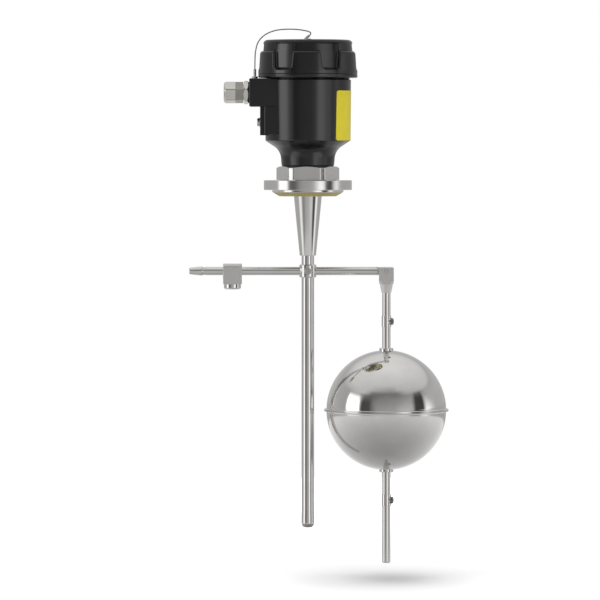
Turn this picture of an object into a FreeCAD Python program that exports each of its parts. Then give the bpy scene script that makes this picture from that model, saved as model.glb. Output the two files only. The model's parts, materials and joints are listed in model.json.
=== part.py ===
import FreeCAD, Part
import math
import os

# Lever float level switch for the top of a tank, all lengths in millimetres.
# The origin is the centre of the flange's seating face. +Z points up to the
# housing, +X points from the immersion tube towards the float.

V = FreeCAD.Vector
X_AXIS = V(1, 0, 0)
Y_AXIS = V(0, 1, 0)
Z_AXIS = V(0, 0, 1)

# Fits
weld_gap = 0.02
running_gap = 0.05
soft_gap = 0.30
seat_gap = 0.10
overrun = 1.0

# Process fitting
flange_overhang = 0.8
flange_thickness = 9.3
flange_edge_fillet = 0.5
flange_seat_width = 8.0
spigot_depth = 2.2
hex_relief = 0.4
hex_relief_inset = 0.5
hex_across_flats = 55.0
hex_corner_reach = 2.5
hex_height = 12.8
hex_turn_deg = -2.3
hex_chamfer = 1.4
boss_radius = 19.0
boss_height = 12.0

# Seals at the fitting
neck_gasket_thickness = 0.8
neck_gasket_inset = 0.3
flange_seal_inset = 0.4
flange_seal_thickness = 3.7
flange_seal_bevel = 6.4

# Immersion tube and the taper that carries it
tube_radius = 6.0
tube_wall = 1.0
tube_bottom_z = -306.0
taper_top_radius = 13.2
taper_straight = 5.0
taper_foot_wall = 1.75
taper_bottom_z = -62.7
taper_foot_fillet = 0.5
end_plug_lip = 0.2
end_plug_length = 16.7
end_plug_flat_radius = 2.0
end_plug_tongue = 6.0

# Housing
neck_foot_radius = 25.1
neck_top_radius = 25.7
neck_height = 7.2
flare_rise = 10.9
flare_out = 6.2
flare_bulge = 0.115
taper_rise = 5.7
thread_radius = 40.2
thread_height = 13.6
thread_step = 1.0
body_draft = 0.7
body_height = 58.3
housing_wall = 3.0
floor_drop = 3.3
floor_radius = 30.0
wire_hole_radius = 14.0
body_foot_fillet = 1.2

# Square side of the housing with the cable entry
side_step = 0.2
side_half_width = 30.0
side_foot_rise = 6.4
side_root = 0.7
side_corner_radius = 5.0
side_edge_radius = 1.2
entry_step = 14.4
entry_height = 26.7
entry_rise = 0.9
entry_axis_rise = 13.4
entry_bore_radius = 8.0
earth_pad_step = 4.2
earth_pad_half_width = 9.0
earth_pad_foot_rise = 5.1
earth_pad_edge_radius = 0.8
earth_screw_rise = 12.5

# Lid
lid_gap = 1.6
lid_height = 36.2
lid_wall_top = 4.4
lid_side_wall = 3.05
lid_inner_bevel = 2.0
lid_skirt_out = 4.1
lid_skirt_chamfer = 0.9
lid_groove_rise = 3.6
lid_groove_depth = 0.35
lid_band_height = 6.7
lid_band_bevel = 2.0
lid_floor_out = 0.2
lid_top_draft = 0.9
lid_top_fillet = 4.0
lug_count = 6
lug_top_rise = 25.4
lug_top_out = 3.4
lug_edge_fillet = 1.0
lug_turn_deg = -1.5
recess_top_width = 20.4
recess_foot_width = 17.4
recess_foot_rise = 8.0
recess_corner_radius = 4.0
lid_seal_rise = 3.0
lid_seal_width = 2.0
lid_seal_depth = 1.5

# Tether between the housing and the lid
wire_radius = 0.6
anchor_inset = 5.2
anchor_hole_room = 0.5
anchor_flange_radius = 2.9
anchor_flange_thickness = 2.1
anchor_ferrule_radius = 1.35
anchor_ferrule_length = 7.0
anchor_shank_radius = 2.0
anchor_shank_length = 4.5
swivel_shank_radius = 1.5
swivel_head_radius = 3.2
swivel_head_thickness = 1.1
swivel_ferrule_radius = 1.2
swivel_ferrule_length = 4.31
swivel_ferrule_x = -1.98
swivel_ferrule_tilt_deg = 49.5
tether_edge_fillet = 0.4
wire_route = [
    (-50.6, 115.4), (-50.6, 123.8), (-50.1, 132.5), (-47.9, 141.4),
    (-41.2, 148.5), (-31.0, 152.6), (-19.8, 153.6), (-9.0, 153.2),
    (-2.2, 152.0), (1.65, 151.1), (3.35, 149.05), (1.3, 147.3),
]
arc_share = 0.45

# Type label
label_thickness = 0.3
label_half_angle_deg = 48.0
label_height = 47.45
label_foot_rise = 0.2
label_corner_radius = 2.0
label_root = 5.0

# Terminals inside the housing
base_rise = 14.2
base_wall_gap = 3.2
base_thickness = 3.0
base_hole_gap = 0.2
post_radius = 4.0
post_inset = 7.0
post_count = 3
post_start_deg = 90.0
post_screw_radius = 1.5
post_screw_depth = 6.0
post_screw_head_radius = 3.0
post_screw_head_height = 1.8
block_length = 40.0
block_room = 0.9
block_height = 14.0
block_chamfer = 3.0
terminal_count = 4
terminal_pitch = 9.0
terminal_screw_radius = 2.4
terminal_screw_depth = 6.0
terminal_screw_drop = 1.5
terminal_wire_radius = 1.8
terminal_wire_drop = 1.0
earth_screw_radius = 2.0
earth_head_radius = 3.85
earth_head_height = 2.4
earth_washer_radius = 4.6
earth_washer_thickness = 0.5
earth_head_fillet = 0.9
earth_shank_length = 6.0
inner_earth_inset = 8.0
inner_earth_post_radius = 4.5
inner_earth_room = 1.5
screw_end_room = 1.0
screw_slot_width = 0.9
screw_slot_share = 0.45
cross_slot_width = 1.0
cross_slot_length = 5.0
cross_slot_depth = 1.0

# Cable gland
gland_washer_radius = 10.2
gland_washer_thickness = 1.1
gland_hex_across = 20.4
gland_hex_length = 4.1
gland_shank_length = 12.9
gland_hex_crown = 1.2
gland_hex_crown_depth = 0.8
gland_bore_radius = 5.5
gland_thread_radius = 7.5
gland_thread_length = 10.5
gland_turn_deg = 14.0
nut_gap = 0.5
nut_hex_across = 18.1
nut_hex_length = 7.6
nut_dome_across = 18.6
nut_dome_length = 11.1
nut_dome_corner_share = 1.12
nut_dome_fillet = 3.0
nut_mouth_radius = 5.6
nut_mouth_wall = 2.4
nut_mouth_bevel = 2.0
claw_length = 3.8
claw_play = 0.35
claw_wall = 1.0
claw_slots = 6
claw_slot_width = 0.9
claw_ring_length = 1.2
gland_seal_length = 4.6
cable_radius = 3.5

# Lever
lever_z = -77.4
hub_height = 12.5
hub_clearance = 0.75
hub_wall = 1.35
hub_chamfer = 0.8
pivot_radius = 1.5
pivot_head_radius = 3.2
pivot_head_height = 1.2
pivot_head_fillet = 0.6
pivot_rivet_radius = 2.3
spot_face_depth = 0.7
bush_radius = 2.6
arm_radius = 4.0
arm_fork_gap = 0.6
arm_end_chamfer = 0.8
left_arm_end_x = 97.5
tip_length = 15.9
tip_neck_radius = 3.7
tip_neck_reach = 1.3
tip_bulge_radius = 4.35
tip_bulge_reach = 4.4
tip_nose_radius = 3.2
tip_nose_bevel = 0.6
tip_stud_radius = 2.5
tip_stud_length = 8.0
magnet_radius = 2.0
magnet_length = 7.0

# Contact parts inside the tube
carrier_gap = 0.2
carrier_foot_rise = 4.0
carrier_length = 26.0
capsule_radius = 1.1
capsule_length = 14.0
capsule_end_radius = 0.88
capsule_x = 3.7
lead_radius = 0.6
lead_spacing = 1.8

# Fork and float rod
fork_x = 75.0
fork_width = 14.0
fork_depth = 14.0
fork_rise = 3.8
fork_drop = 12.3
fork_edge_radius = 1.4
fork_slot_width = 5.8
fork_slot_drop = 6.4
fork_neck_length = 8.4
fork_neck_top_radius = 6.3
fork_neck_wall = 0.6
fork_neck_bevel = 0.5
fork_neck_bevel_height = 2.5
fork_foot_inset = 0.3
fork_corner_reach = 3.1
fork_corner_rise = 4.0
fork_pin_radius = 2.0
fork_pin_chamfer = 0.3
tongue_side_gap = 0.15
tongue_half_height = 3.7
tongue_end_gap = 1.6
tongue_root = 2.0
rod_radius = 4.0
rod_bottom_z = -356.5
rod_socket = 7.0
rod_chamfer = 0.8

# Float
float_z = -210.3
float_radius = 57.2
float_wall = 0.8
seam_reach = 2.25
seam_height = 2.2
sleeve_wall = 1.0
float_bore_gap = 0.08
collar_wall = 1.57
collar_height = 2.5
collar_skirt = 0.2
collar_fillet = 0.6

# Stop collars on the float rod
upper_stop_z = -131.0
lower_stop_z = -302.0
stop_height = 11.0
stop_wall = 0.5
stop_boss_radius = 3.6
stop_boss_height = 0.4
stop_chamfer = 0.25
stop_screw_head_radius = 3.2
stop_screw_head_height = 1.75
stop_screw_head_fillet = 0.5
stop_screw_radius = 1.25
stop_socket_across = 2.5
stop_socket_depth = 1.2
stop_screw_turn_deg = -17.0

# Counterweight
weight_x = -72.0
weight_width = 17.9
weight_depth = 18.0
weight_rise = 7.0
weight_drop = 12.5
weight_top_round = 3.6
weight_edge_round = 0.6
clamp_head_radius = 8.1
clamp_head_height = 4.9
clamp_head_round = 1.5
clamp_stud_radius = 3.0

# Levels that follow from the sizes above
body_radius = thread_radius + thread_step
body_foot_radius = body_radius - body_draft
flange_radius = body_radius + flange_overhang
spigot_radius = flange_radius - flange_seat_width
flange_seal_radius = spigot_radius - flange_seal_inset
hex_relief_radius = hex_across_flats / 2 - hex_relief_inset
hex_turned_radius = hex_across_flats / 2 + hex_corner_reach
neck_gasket_radius = neck_foot_radius - neck_gasket_inset
taper_bottom_radius = tube_radius + taper_foot_wall
end_plug_radius = tube_radius + end_plug_lip
spigot_z = -spigot_depth
hex_bottom_z = flange_thickness + hex_relief
hex_top_z = hex_bottom_z + hex_height
neck_bottom_z = hex_top_z + neck_gasket_thickness
neck_top_z = neck_bottom_z + neck_height
flare_top_z = neck_top_z + flare_rise
body_foot_z = flare_top_z + taper_rise
body_top_z = body_foot_z + body_height
thread_top_z = body_top_z + thread_height
cavity_radius = thread_radius - housing_wall
floor_z = body_foot_z - floor_drop
boss_top_z = hex_top_z + boss_height
side_face_x = body_radius + side_step
side_inner_x = math.sqrt(body_foot_radius ** 2 - side_half_width ** 2) - side_root
side_bottom_z = body_foot_z + side_foot_rise
entry_face_x = side_face_x + entry_step
entry_top_z = body_top_z + entry_rise
entry_bottom_z = entry_top_z - entry_height
entry_z = entry_bottom_z + entry_axis_rise
earth_pad_x = side_face_x + earth_pad_step
earth_pad_bottom_z = body_foot_z + earth_pad_foot_rise
earth_screw_z = earth_pad_bottom_z + earth_screw_rise
anchor_x = entry_face_x - anchor_inset
lid_bottom_z = body_top_z + lid_gap
lid_top_z = lid_bottom_z + lid_height
lid_inner_z = lid_top_z - lid_wall_top
lid_groove_z = lid_bottom_z + lid_groove_rise
lid_shoulder_radius = thread_radius + running_gap + lid_side_wall
lid_skirt_radius = lid_shoulder_radius + lid_skirt_out
lid_floor_radius = lid_shoulder_radius + lid_floor_out
lid_top_radius = lid_shoulder_radius - lid_top_draft
lug_top_radius = lid_shoulder_radius + lug_top_out
label_bottom_z = body_foot_z + label_foot_rise
label_top_z = label_bottom_z + label_height
base_z = floor_z + base_rise
base_radius = cavity_radius - base_wall_gap
base_top_z = base_z + base_thickness
base_wire_hole = tube_radius + base_hole_gap
post_circle = base_radius - post_inset
inner_earth_y = base_radius - inner_earth_inset
block_low_y = base_wire_hole + block_room
block_high_y = post_circle - post_screw_head_radius - block_room
block_top_z = base_top_z + block_height
block_y = (block_low_y + block_high_y) / 2
hub_bore_radius = tube_radius + hub_clearance
hub_radius = hub_bore_radius + hub_wall
carrier_radius = tube_radius - tube_wall - carrier_gap
right_arm_end_x = fork_x - fork_width / 2 - arm_fork_gap
fork_neck_foot_radius = rod_radius + fork_neck_wall
seam_radius = float_radius + seam_reach
float_bore = rod_radius + float_bore_gap
sleeve_radius = float_bore + sleeve_wall
collar_radius = sleeve_radius + collar_wall
stop_radius = rod_radius + stop_wall
stop_boss_reach = stop_radius + stop_boss_height


def box(low, high):
    return Part.makeBox(high[0] - low[0], high[1] - low[1], high[2] - low[2], V(*low))


def rod(radius, start, end):
    run = V(*end) - V(*start)
    return Part.makeCylinder(radius, run.Length, V(*start), run)


def upright(radius, low_z, high_z, x=0.0, y=0.0):
    return rod(radius, (x, y, low_z), (x, y, high_z))


def turned_wire(edges, x=0.0):
    face = Part.Face(Part.Wire(edges))
    return face.revolve(V(x, 0, 0), Z_AXIS, 360)


def turned(profile, x=0.0):
    """A solid turned about the vertical line at x, from (radius, z) corners."""
    corners = [V(x + radius, 0, z) for radius, z in profile]
    return turned_wire(Part.makePolygon(corners + corners[:1]).Edges, x)


def turned_on_x(profile, z):
    """A solid turned about a line along X at height z, from (x, radius) corners."""
    corners = [V(x, 0, z + radius) for x, radius in profile]
    face = Part.Face(Part.makePolygon(corners + corners[:1]))
    return face.revolve(V(0, 0, z), X_AXIS, 360)


def hex_prism(across, low_z, high_z, turn_deg=0.0):
    """An upright hexagon bar with one flat facing -Y, turned by turn_deg."""
    corner = across / 2 / math.cos(math.pi / 6)
    ring = []
    for step in range(7):
        angle = math.radians(turn_deg - 90 + 30 + 60 * step)
        ring.append(V(corner * math.cos(angle), corner * math.sin(angle), low_z))
    return Part.Face(Part.makePolygon(ring)).extrude(V(0, 0, high_z - low_z))


def edges_at(shape, test):
    """The edges whose middle passes the test."""
    return [edge for edge in shape.Edges if test(edge.CenterOfMass)]


def rim_edges(shape, z, radius, tolerance=0.05):
    """Full circles of one radius at one height."""
    found = []
    for edge in shape.Edges:
        curve = edge.Curve
        is_circle = isinstance(curve, Part.Circle)
        if is_circle and abs(curve.Radius - radius) < tolerance and abs(curve.Center.z - z) < tolerance:
            found.append(edge)
    return found


def rounded_block(half_width, low_z, high_z, radius, low_x, high_x):
    """A bar along X whose section in Y and Z has round corners."""
    block = box((low_x, -half_width, low_z), (high_x, half_width, high_z))
    along_x = [edge for edge in block.Edges if abs(edge.tangentAt(0).x) > 0.9]
    return block.makeFillet(radius, along_x)


def joined(shapes):
    return shapes[0].fuse(shapes[1:]).removeSplitter()


# Process connection

def process_fitting():
    hexagon = hex_prism(hex_across_flats, hex_bottom_z, hex_top_z, hex_turn_deg)
    crown = turned([
        (0, hex_bottom_z), (hex_turned_radius, hex_bottom_z),
        (hex_turned_radius, hex_top_z - hex_chamfer),
        (hex_turned_radius - 2 * hex_chamfer, hex_top_z), (0, hex_top_z),
    ])
    plate = turned([
        (0, spigot_z), (spigot_radius, spigot_z), (spigot_radius, 0), (flange_radius, 0),
        (flange_radius, flange_thickness), (hex_relief_radius, flange_thickness),
        (hex_relief_radius, hex_bottom_z), (0, hex_bottom_z),
    ])
    edges = rim_edges(plate, 0, flange_radius) + rim_edges(plate, flange_thickness, flange_radius)
    plate = plate.makeFillet(flange_edge_fillet, edges)
    boss = upright(boss_radius, hex_top_z, boss_top_z)
    bore = upright(tube_radius + weld_gap, spigot_z - overrun, boss_top_z + overrun)
    return joined([plate, hexagon.common(crown), boss]).cut(bore)


def neck_gasket():
    ring = upright(neck_gasket_radius, hex_top_z, neck_bottom_z)
    return ring.cut(upright(boss_radius + weld_gap, hex_top_z - overrun, neck_bottom_z + overrun))


def flange_seal():
    foot_z = spigot_z - flange_seal_thickness
    return turned([
        (taper_top_radius + weld_gap, spigot_z), (flange_seal_radius, spigot_z),
        (flange_seal_radius - flange_seal_bevel, foot_z), (taper_top_radius + weld_gap, foot_z),
    ])


def taper_sleeve():
    sleeve = turned([
        (tube_radius + weld_gap, spigot_z), (taper_top_radius, spigot_z),
        (taper_top_radius, spigot_z - taper_straight),
        (taper_bottom_radius, taper_bottom_z), (tube_radius + weld_gap, taper_bottom_z),
    ])
    foot = rim_edges(sleeve, taper_bottom_z, taper_bottom_radius)
    return sleeve.makeFillet(taper_foot_fillet, foot)


def immersion_tube():
    tube = upright(tube_radius, tube_bottom_z, base_top_z)
    tube = tube.cut(upright(tube_radius - tube_wall, tube_bottom_z - overrun, base_top_z + overrun))
    return tube.cut(rod(bush_radius, (0, -hub_radius, lever_z), (0, hub_radius, lever_z)))


def tube_end_plug():
    foot_z = tube_bottom_z - end_plug_length
    plug = upright(end_plug_radius, foot_z, tube_bottom_z)
    rim = rim_edges(plug, foot_z, end_plug_radius)
    plug = plug.makeFillet(end_plug_radius - end_plug_flat_radius, rim)
    tongue = upright(tube_radius - tube_wall - weld_gap, tube_bottom_z, tube_bottom_z + end_plug_tongue)
    return joined([plug, tongue])


def pivot_bush():
    bush = rod(bush_radius, (0, -tube_radius, lever_z), (0, tube_radius, lever_z))
    return bush.cut(rod(pivot_radius + running_gap, (0, -hub_radius, lever_z), (0, hub_radius, lever_z)))


def contact_carrier():
    low_z = lever_z + carrier_foot_rise
    high_z = low_z + carrier_length
    capsule_top_z = lever_z + capsule_length / 2
    cuts = [upright(capsule_radius + weld_gap, low_z - overrun, capsule_top_z + weld_gap, capsule_x)]
    for y in (-lead_spacing, lead_spacing):
        cuts.append(upright(lead_radius + weld_gap, low_z - overrun, high_z + overrun, 0, y))
    return upright(carrier_radius, low_z, high_z).cut(cuts)


def reed_capsule():
    low_z = lever_z - capsule_length / 2
    high_z = lever_z + capsule_length / 2
    capsule = upright(capsule_radius, low_z, high_z, capsule_x)
    rims = rim_edges(capsule, low_z, capsule_radius) + rim_edges(capsule, high_z, capsule_radius)
    return capsule.makeFillet(capsule_end_radius, rims)


def contact_leads():
    low_z = lever_z + carrier_foot_rise
    return Part.makeCompound([
        upright(lead_radius, low_z, base_top_z, 0, side * lead_spacing) for side in (-1, 1)
    ])


# Housing

def housing_profile():
    flare_start = V(neck_top_radius, 0, neck_top_z)
    flare_end = V(neck_top_radius + flare_out, 0, flare_top_z)
    chord = flare_end - flare_start
    inward = V(-chord.z, 0, chord.x).normalize() * chord.Length * flare_bulge
    middle = (flare_start + flare_end) * 0.5 + inward
    corners = [
        V(body_foot_radius, 0, body_foot_z), V(body_radius, 0, body_top_z),
        V(thread_radius, 0, body_top_z), V(thread_radius, 0, thread_top_z),
        V(0, 0, thread_top_z), V(0, 0, neck_bottom_z), V(neck_foot_radius, 0, neck_bottom_z),
    ]
    edges = [Part.Arc(flare_start, middle, flare_end).toShape()]
    previous = flare_end
    for corner in corners + [flare_start]:
        edges.append(Part.LineSegment(previous, corner).toShape())
        previous = corner
    return edges


def side_face_block():
    """The square side of the housing, with a rounded lower corner."""
    low = (-side_face_x, -side_half_width, side_bottom_z)
    high = (-side_inner_x, side_half_width, body_top_z)
    block = box(low, high)
    lower = edges_at(block, lambda p: abs(p.z - side_bottom_z) < 0.1 and abs(p.x + side_inner_x) < 0.1)
    block = block.makeFillet(side_corner_radius, lower)
    outer = edges_at(block, lambda p: abs(p.x + side_face_x) < 0.1 and abs(abs(p.y) - side_half_width) < 0.1)
    return block.makeFillet(side_edge_radius, outer)


def earth_pad_block():
    low = (-earth_pad_x, -earth_pad_half_width, earth_pad_bottom_z)
    pad = box(low, (-side_inner_x, earth_pad_half_width, entry_bottom_z))
    outer = edges_at(pad, lambda p: abs(p.x + earth_pad_x) < 0.1 and p.z < entry_bottom_z - 0.1)
    return pad.makeFillet(earth_pad_edge_radius, outer)


def housing_outside():
    body = turned_wire(housing_profile())
    return body.makeFillet(body_foot_fillet, rim_edges(body, body_foot_z, body_foot_radius))


def anchor_hole():
    low_z = entry_top_z - anchor_shank_length
    return upright(anchor_shank_radius, low_z, entry_top_z + overrun, -anchor_x)


def entry_bore():
    return rod(entry_bore_radius + weld_gap, (-entry_face_x - overrun, 0, entry_z), (0, 0, entry_z))


def entry_block():
    """The deep block that carries the cable gland, cast on the housing's side."""
    low = (-entry_face_x, -side_half_width, entry_bottom_z)
    block = box(low, (-side_inner_x, side_half_width, entry_top_z))
    outer = edges_at(block, lambda p: p.x < -side_inner_x - 0.1)
    block = block.makeFillet(side_edge_radius, outer)
    return block.cut([housing_outside(), entry_bore(), anchor_hole()])


def side_pad():
    """The flat side below the entry block, with the raised pad of the earth screw."""
    below_entry = box(
        (-entry_face_x - overrun, -side_half_width - overrun, entry_bottom_z),
        (0, side_half_width + overrun, entry_top_z))
    screw_hole = rod(
        earth_screw_radius, (-earth_pad_x - overrun, 0, earth_screw_z),
        (-earth_pad_x + earth_shank_length, 0, earth_screw_z))
    pads = joined([side_face_block(), earth_pad_block()])
    return pads.cut([below_entry, housing_outside(), screw_hole])


def post_places():
    for step in range(post_count):
        angle = math.radians(post_start_deg + 360 / post_count * step)
        yield post_circle * math.cos(angle), post_circle * math.sin(angle)


def housing_shell():
    cavity = turned([
        (0, floor_z), (floor_radius, floor_z),
        (cavity_radius, floor_z + cavity_radius - floor_radius),
        (cavity_radius, thread_top_z + overrun), (0, thread_top_z + overrun),
    ])
    seal_low = lid_bottom_z + lid_seal_rise
    seal_high = seal_low + lid_seal_width
    seal_root = thread_radius - lid_seal_depth - weld_gap
    seal_groove = turned([
        (seal_root, seal_low), (thread_radius + overrun, seal_low),
        (thread_radius + overrun, seal_high), (seal_root, seal_high),
    ])
    cuts = [
        cavity,
        seal_groove,
        upright(wire_hole_radius, boss_top_z - overrun, floor_z + overrun),
        upright(boss_radius + weld_gap, neck_bottom_z - overrun, boss_top_z + seat_gap),
        entry_bore(),
        rod(earth_screw_radius, (-earth_pad_x, 0, earth_screw_z),
            (-earth_pad_x + earth_shank_length, 0, earth_screw_z)),
    ]
    return housing_outside().cut(cuts)


def terminal_posts():
    """Posts that stand on the housing's floor, and the post of the inner earth screw."""
    posts = []
    for x, y in post_places():
        post = upright(post_radius, floor_z + weld_gap, base_z, x, y)
        posts.append(post.cut(upright(post_screw_radius, base_z - post_screw_depth, base_z + overrun, x, y)))
    earth_post = upright(inner_earth_post_radius, floor_z + weld_gap, base_z, 0, -inner_earth_y)
    earth_hole = upright(earth_screw_radius, base_z - earth_shank_length, base_z + overrun, 0, -inner_earth_y)
    posts.append(earth_post.cut(earth_hole))
    cone_rise = cavity_radius - floor_radius + weld_gap
    cone = turned([
        (floor_radius - weld_gap, floor_z), (cavity_radius, floor_z + cone_rise),
        (body_radius, base_z), (body_radius, floor_z),
    ])
    return Part.makeCompound([post.cut(cone) for post in posts])


def lid_seal():
    low_z = lid_bottom_z + lid_seal_rise
    return turned([
        (thread_radius - lid_seal_depth, low_z), (thread_radius - soft_gap, low_z),
        (thread_radius - soft_gap, low_z + lid_seal_width),
        (thread_radius - lid_seal_depth, low_z + lid_seal_width),
    ])


def type_label():
    def body_at(z):
        share = (z - body_foot_z) / (body_top_z - body_foot_z)
        return body_foot_radius + share * (body_radius - body_foot_radius)

    def skin_at(z):
        return max(body_at(z), body_at(body_foot_z))

    low_z, high_z = label_bottom_z, label_top_z
    band = turned([
        (skin_at(low_z) + weld_gap, low_z), (skin_at(low_z) + label_thickness, low_z),
        (skin_at(high_z) + label_thickness, high_z), (skin_at(high_z) + weld_gap, high_z),
    ])
    half_width = body_radius * math.sin(math.radians(label_half_angle_deg))
    high_x = body_radius + label_root
    return band.common(rounded_block(half_width, low_z, high_z, label_corner_radius, label_root, high_x))


# Terminals

def terminal_base():
    low_z, high_z = base_z - overrun, base_top_z + overrun
    cuts = [
        upright(base_wire_hole, low_z, high_z),
        upright(inner_earth_post_radius + inner_earth_room, low_z, high_z, 0, -inner_earth_y),
    ]
    for x, y in post_places():
        cuts.append(upright(post_screw_radius + seat_gap, low_z, high_z, x, y))
    return upright(base_radius, base_z, base_top_z).cut(cuts)


def terminal_places():
    start = -terminal_pitch * (terminal_count - 1) / 2
    for step in range(terminal_count):
        yield start + terminal_pitch * step


def terminal_block():
    low = (-block_length / 2, block_low_y, base_top_z)
    block = box(low, (block_length / 2, block_high_y, block_top_z))
    along_x = edges_at(block, lambda p: abs(p.z - block_top_z) < 0.1 and abs(p.x) < 0.1)
    block = block.makeChamfer(block_chamfer, along_x)
    well_z = block_top_z - terminal_screw_depth
    wire_z = well_z - terminal_wire_radius - terminal_wire_drop
    front_y, back_y = block_low_y - overrun, block_high_y + overrun
    cuts = []
    for x in terminal_places():
        cuts.append(upright(terminal_screw_radius + seat_gap, well_z, block_top_z + overrun, x, block_y))
        cuts.append(rod(terminal_wire_radius, (x, front_y, wire_z), (x, back_y, wire_z)))
    return block.cut(cuts)


def slotted_head(radius, low_z, height, x, y):
    head = upright(radius, low_z, low_z + height, x, y)
    slot_z = low_z + height * (1 - screw_slot_share)
    half = screw_slot_width / 2
    return head.cut(box((x - radius, y - half, slot_z), (x + radius, y + half, low_z + height + overrun)))


def terminal_screws():
    low_z = block_top_z - terminal_screw_depth
    height = terminal_screw_depth - terminal_screw_drop
    return Part.makeCompound([
        slotted_head(terminal_screw_radius, low_z, height, x, block_y) for x in terminal_places()
    ])


def terminal_base_screws():
    screws = []
    for x, y in post_places():
        foot_z = base_z - post_screw_depth + screw_end_room
        shank = upright(post_screw_radius - weld_gap, foot_z, base_top_z, x, y)
        head = slotted_head(post_screw_head_radius, base_top_z, post_screw_head_height, x, y)
        screws.append(shank.fuse(head))
    return Part.makeCompound(screws)


def inner_earth_screw():
    foot_z = base_z - earth_shank_length + screw_end_room
    shank = upright(earth_screw_radius - weld_gap, foot_z, base_z, 0, -inner_earth_y)
    head = slotted_head(earth_head_radius, base_z, earth_head_height, 0, -inner_earth_y)
    return joined([shank, head])


def earth_washer():
    outer_x = -earth_pad_x - earth_washer_thickness
    washer = rod(earth_washer_radius, (outer_x, 0, earth_screw_z), (-earth_pad_x, 0, earth_screw_z))
    hole = rod(earth_screw_radius + seat_gap, (outer_x - overrun, 0, earth_screw_z), (0, 0, earth_screw_z))
    return washer.cut(hole)


def outer_earth_screw():
    seat_x = -earth_pad_x - earth_washer_thickness
    outer_x = seat_x - earth_head_height
    head = rod(earth_head_radius, (outer_x, 0, earth_screw_z), (seat_x, 0, earth_screw_z))
    rim = edges_at(head, lambda p: abs(p.x - outer_x) < 0.05)
    head = head.makeFillet(earth_head_fillet, rim)
    half_width, half_length = cross_slot_width / 2, cross_slot_length / 2
    slot = box(
        (outer_x - overrun, -half_width, earth_screw_z - half_length),
        (outer_x + cross_slot_depth, half_width, earth_screw_z + half_length))
    head = head.cut(slot)
    slot.rotate(V(0, 0, earth_screw_z), X_AXIS, 90)
    head = head.cut(slot)
    shank_end = -earth_pad_x + earth_shank_length - screw_end_room
    shank = rod(earth_screw_radius - weld_gap, (seat_x, 0, earth_screw_z), (shank_end, 0, earth_screw_z))
    return joined([head, shank])


# Cable gland, along X at the height of the entry

def gland_hex(across, start_x, end_x):
    bar = hex_prism(across, start_x, end_x, gland_turn_deg)
    bar.rotate(V(0, 0, 0), Y_AXIS, 90)
    bar.translate(V(0, 0, entry_z))
    return bar


def on_axis(radius, start_x, end_x):
    return rod(radius, (start_x, 0, entry_z), (end_x, 0, entry_z))


def washer_face_x():
    return -entry_face_x - gland_washer_thickness


def gland_washer():
    ring = on_axis(gland_washer_radius, washer_face_x(), -entry_face_x)
    return ring.cut(on_axis(entry_bore_radius + weld_gap, washer_face_x() - overrun, 0))


def gland_body():
    hex_x = washer_face_x() - gland_hex_length
    collar = gland_hex(gland_hex_across, hex_x, washer_face_x())
    flat, corner = gland_hex_across / 2, gland_hex_across / 2 + gland_hex_crown
    crown = turned_on_x([
        (hex_x, 0), (hex_x, flat), (hex_x + gland_hex_crown_depth, corner),
        (washer_face_x() - gland_hex_crown_depth, corner), (washer_face_x(), flat), (washer_face_x(), 0),
    ], entry_z)
    shank = on_axis(entry_bore_radius, washer_face_x(), washer_face_x() + gland_shank_length)
    neck = on_axis(gland_thread_radius, hex_x - gland_thread_length, hex_x)
    bore = on_axis(gland_bore_radius, hex_x - gland_thread_length - overrun, 0)
    return joined([collar.common(crown), shank, neck]).cut(bore)


def nut_start_x():
    return washer_face_x() - gland_hex_length - nut_gap


def nut_mouth_x():
    return nut_start_x() - nut_hex_length - nut_dome_length


def gland_nut():
    start_x = nut_start_x()
    dome_x = start_x - nut_hex_length
    mouth_x = nut_mouth_x()
    band = gland_hex(nut_hex_across, dome_x, start_x)
    dome = gland_hex(nut_dome_across, mouth_x, dome_x)
    dome_round = on_axis(nut_dome_across / 2 * nut_dome_corner_share, mouth_x, dome_x)
    rims = edges_at(dome_round, lambda p: abs(p.x - mouth_x) < 0.05)
    dome = dome.common(dome_round.makeFillet(nut_dome_fillet, rims))
    thread = gland_thread_radius + running_gap
    wall_x = mouth_x + nut_mouth_wall
    inside = turned_on_x([
        (start_x + overrun, 0), (start_x + overrun, thread), (wall_x + nut_mouth_bevel, thread),
        (wall_x, nut_mouth_radius), (mouth_x - overrun, nut_mouth_radius), (mouth_x - overrun, 0),
    ], entry_z)
    return joined([band, dome]).cut(inside)


def claw_start_x():
    return washer_face_x() - gland_hex_length - gland_thread_length - seat_gap


def gland_claw():
    start_x = claw_start_x()
    end_x = start_x - claw_length
    outer = gland_thread_radius - claw_play
    half = claw_slot_width / 2
    top_z = entry_z + outer + overrun
    cuts = [on_axis(outer - claw_wall, end_x - overrun, start_x + overrun)]
    for step in range(claw_slots):
        slot = box((end_x - overrun, -half, entry_z), (start_x - claw_ring_length, half, top_z))
        slot.rotate(V(0, 0, entry_z), X_AXIS, 360 / claw_slots * step)
        cuts.append(slot)
    return on_axis(outer, end_x, start_x).cut(cuts)


def gland_seal():
    start_x = claw_start_x()
    end_x = start_x - gland_seal_length
    outer = gland_thread_radius - claw_play - claw_wall - weld_gap
    return on_axis(outer, end_x, start_x).cut(on_axis(cable_radius, end_x - overrun, start_x + overrun))


# Lid and tether

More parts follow.
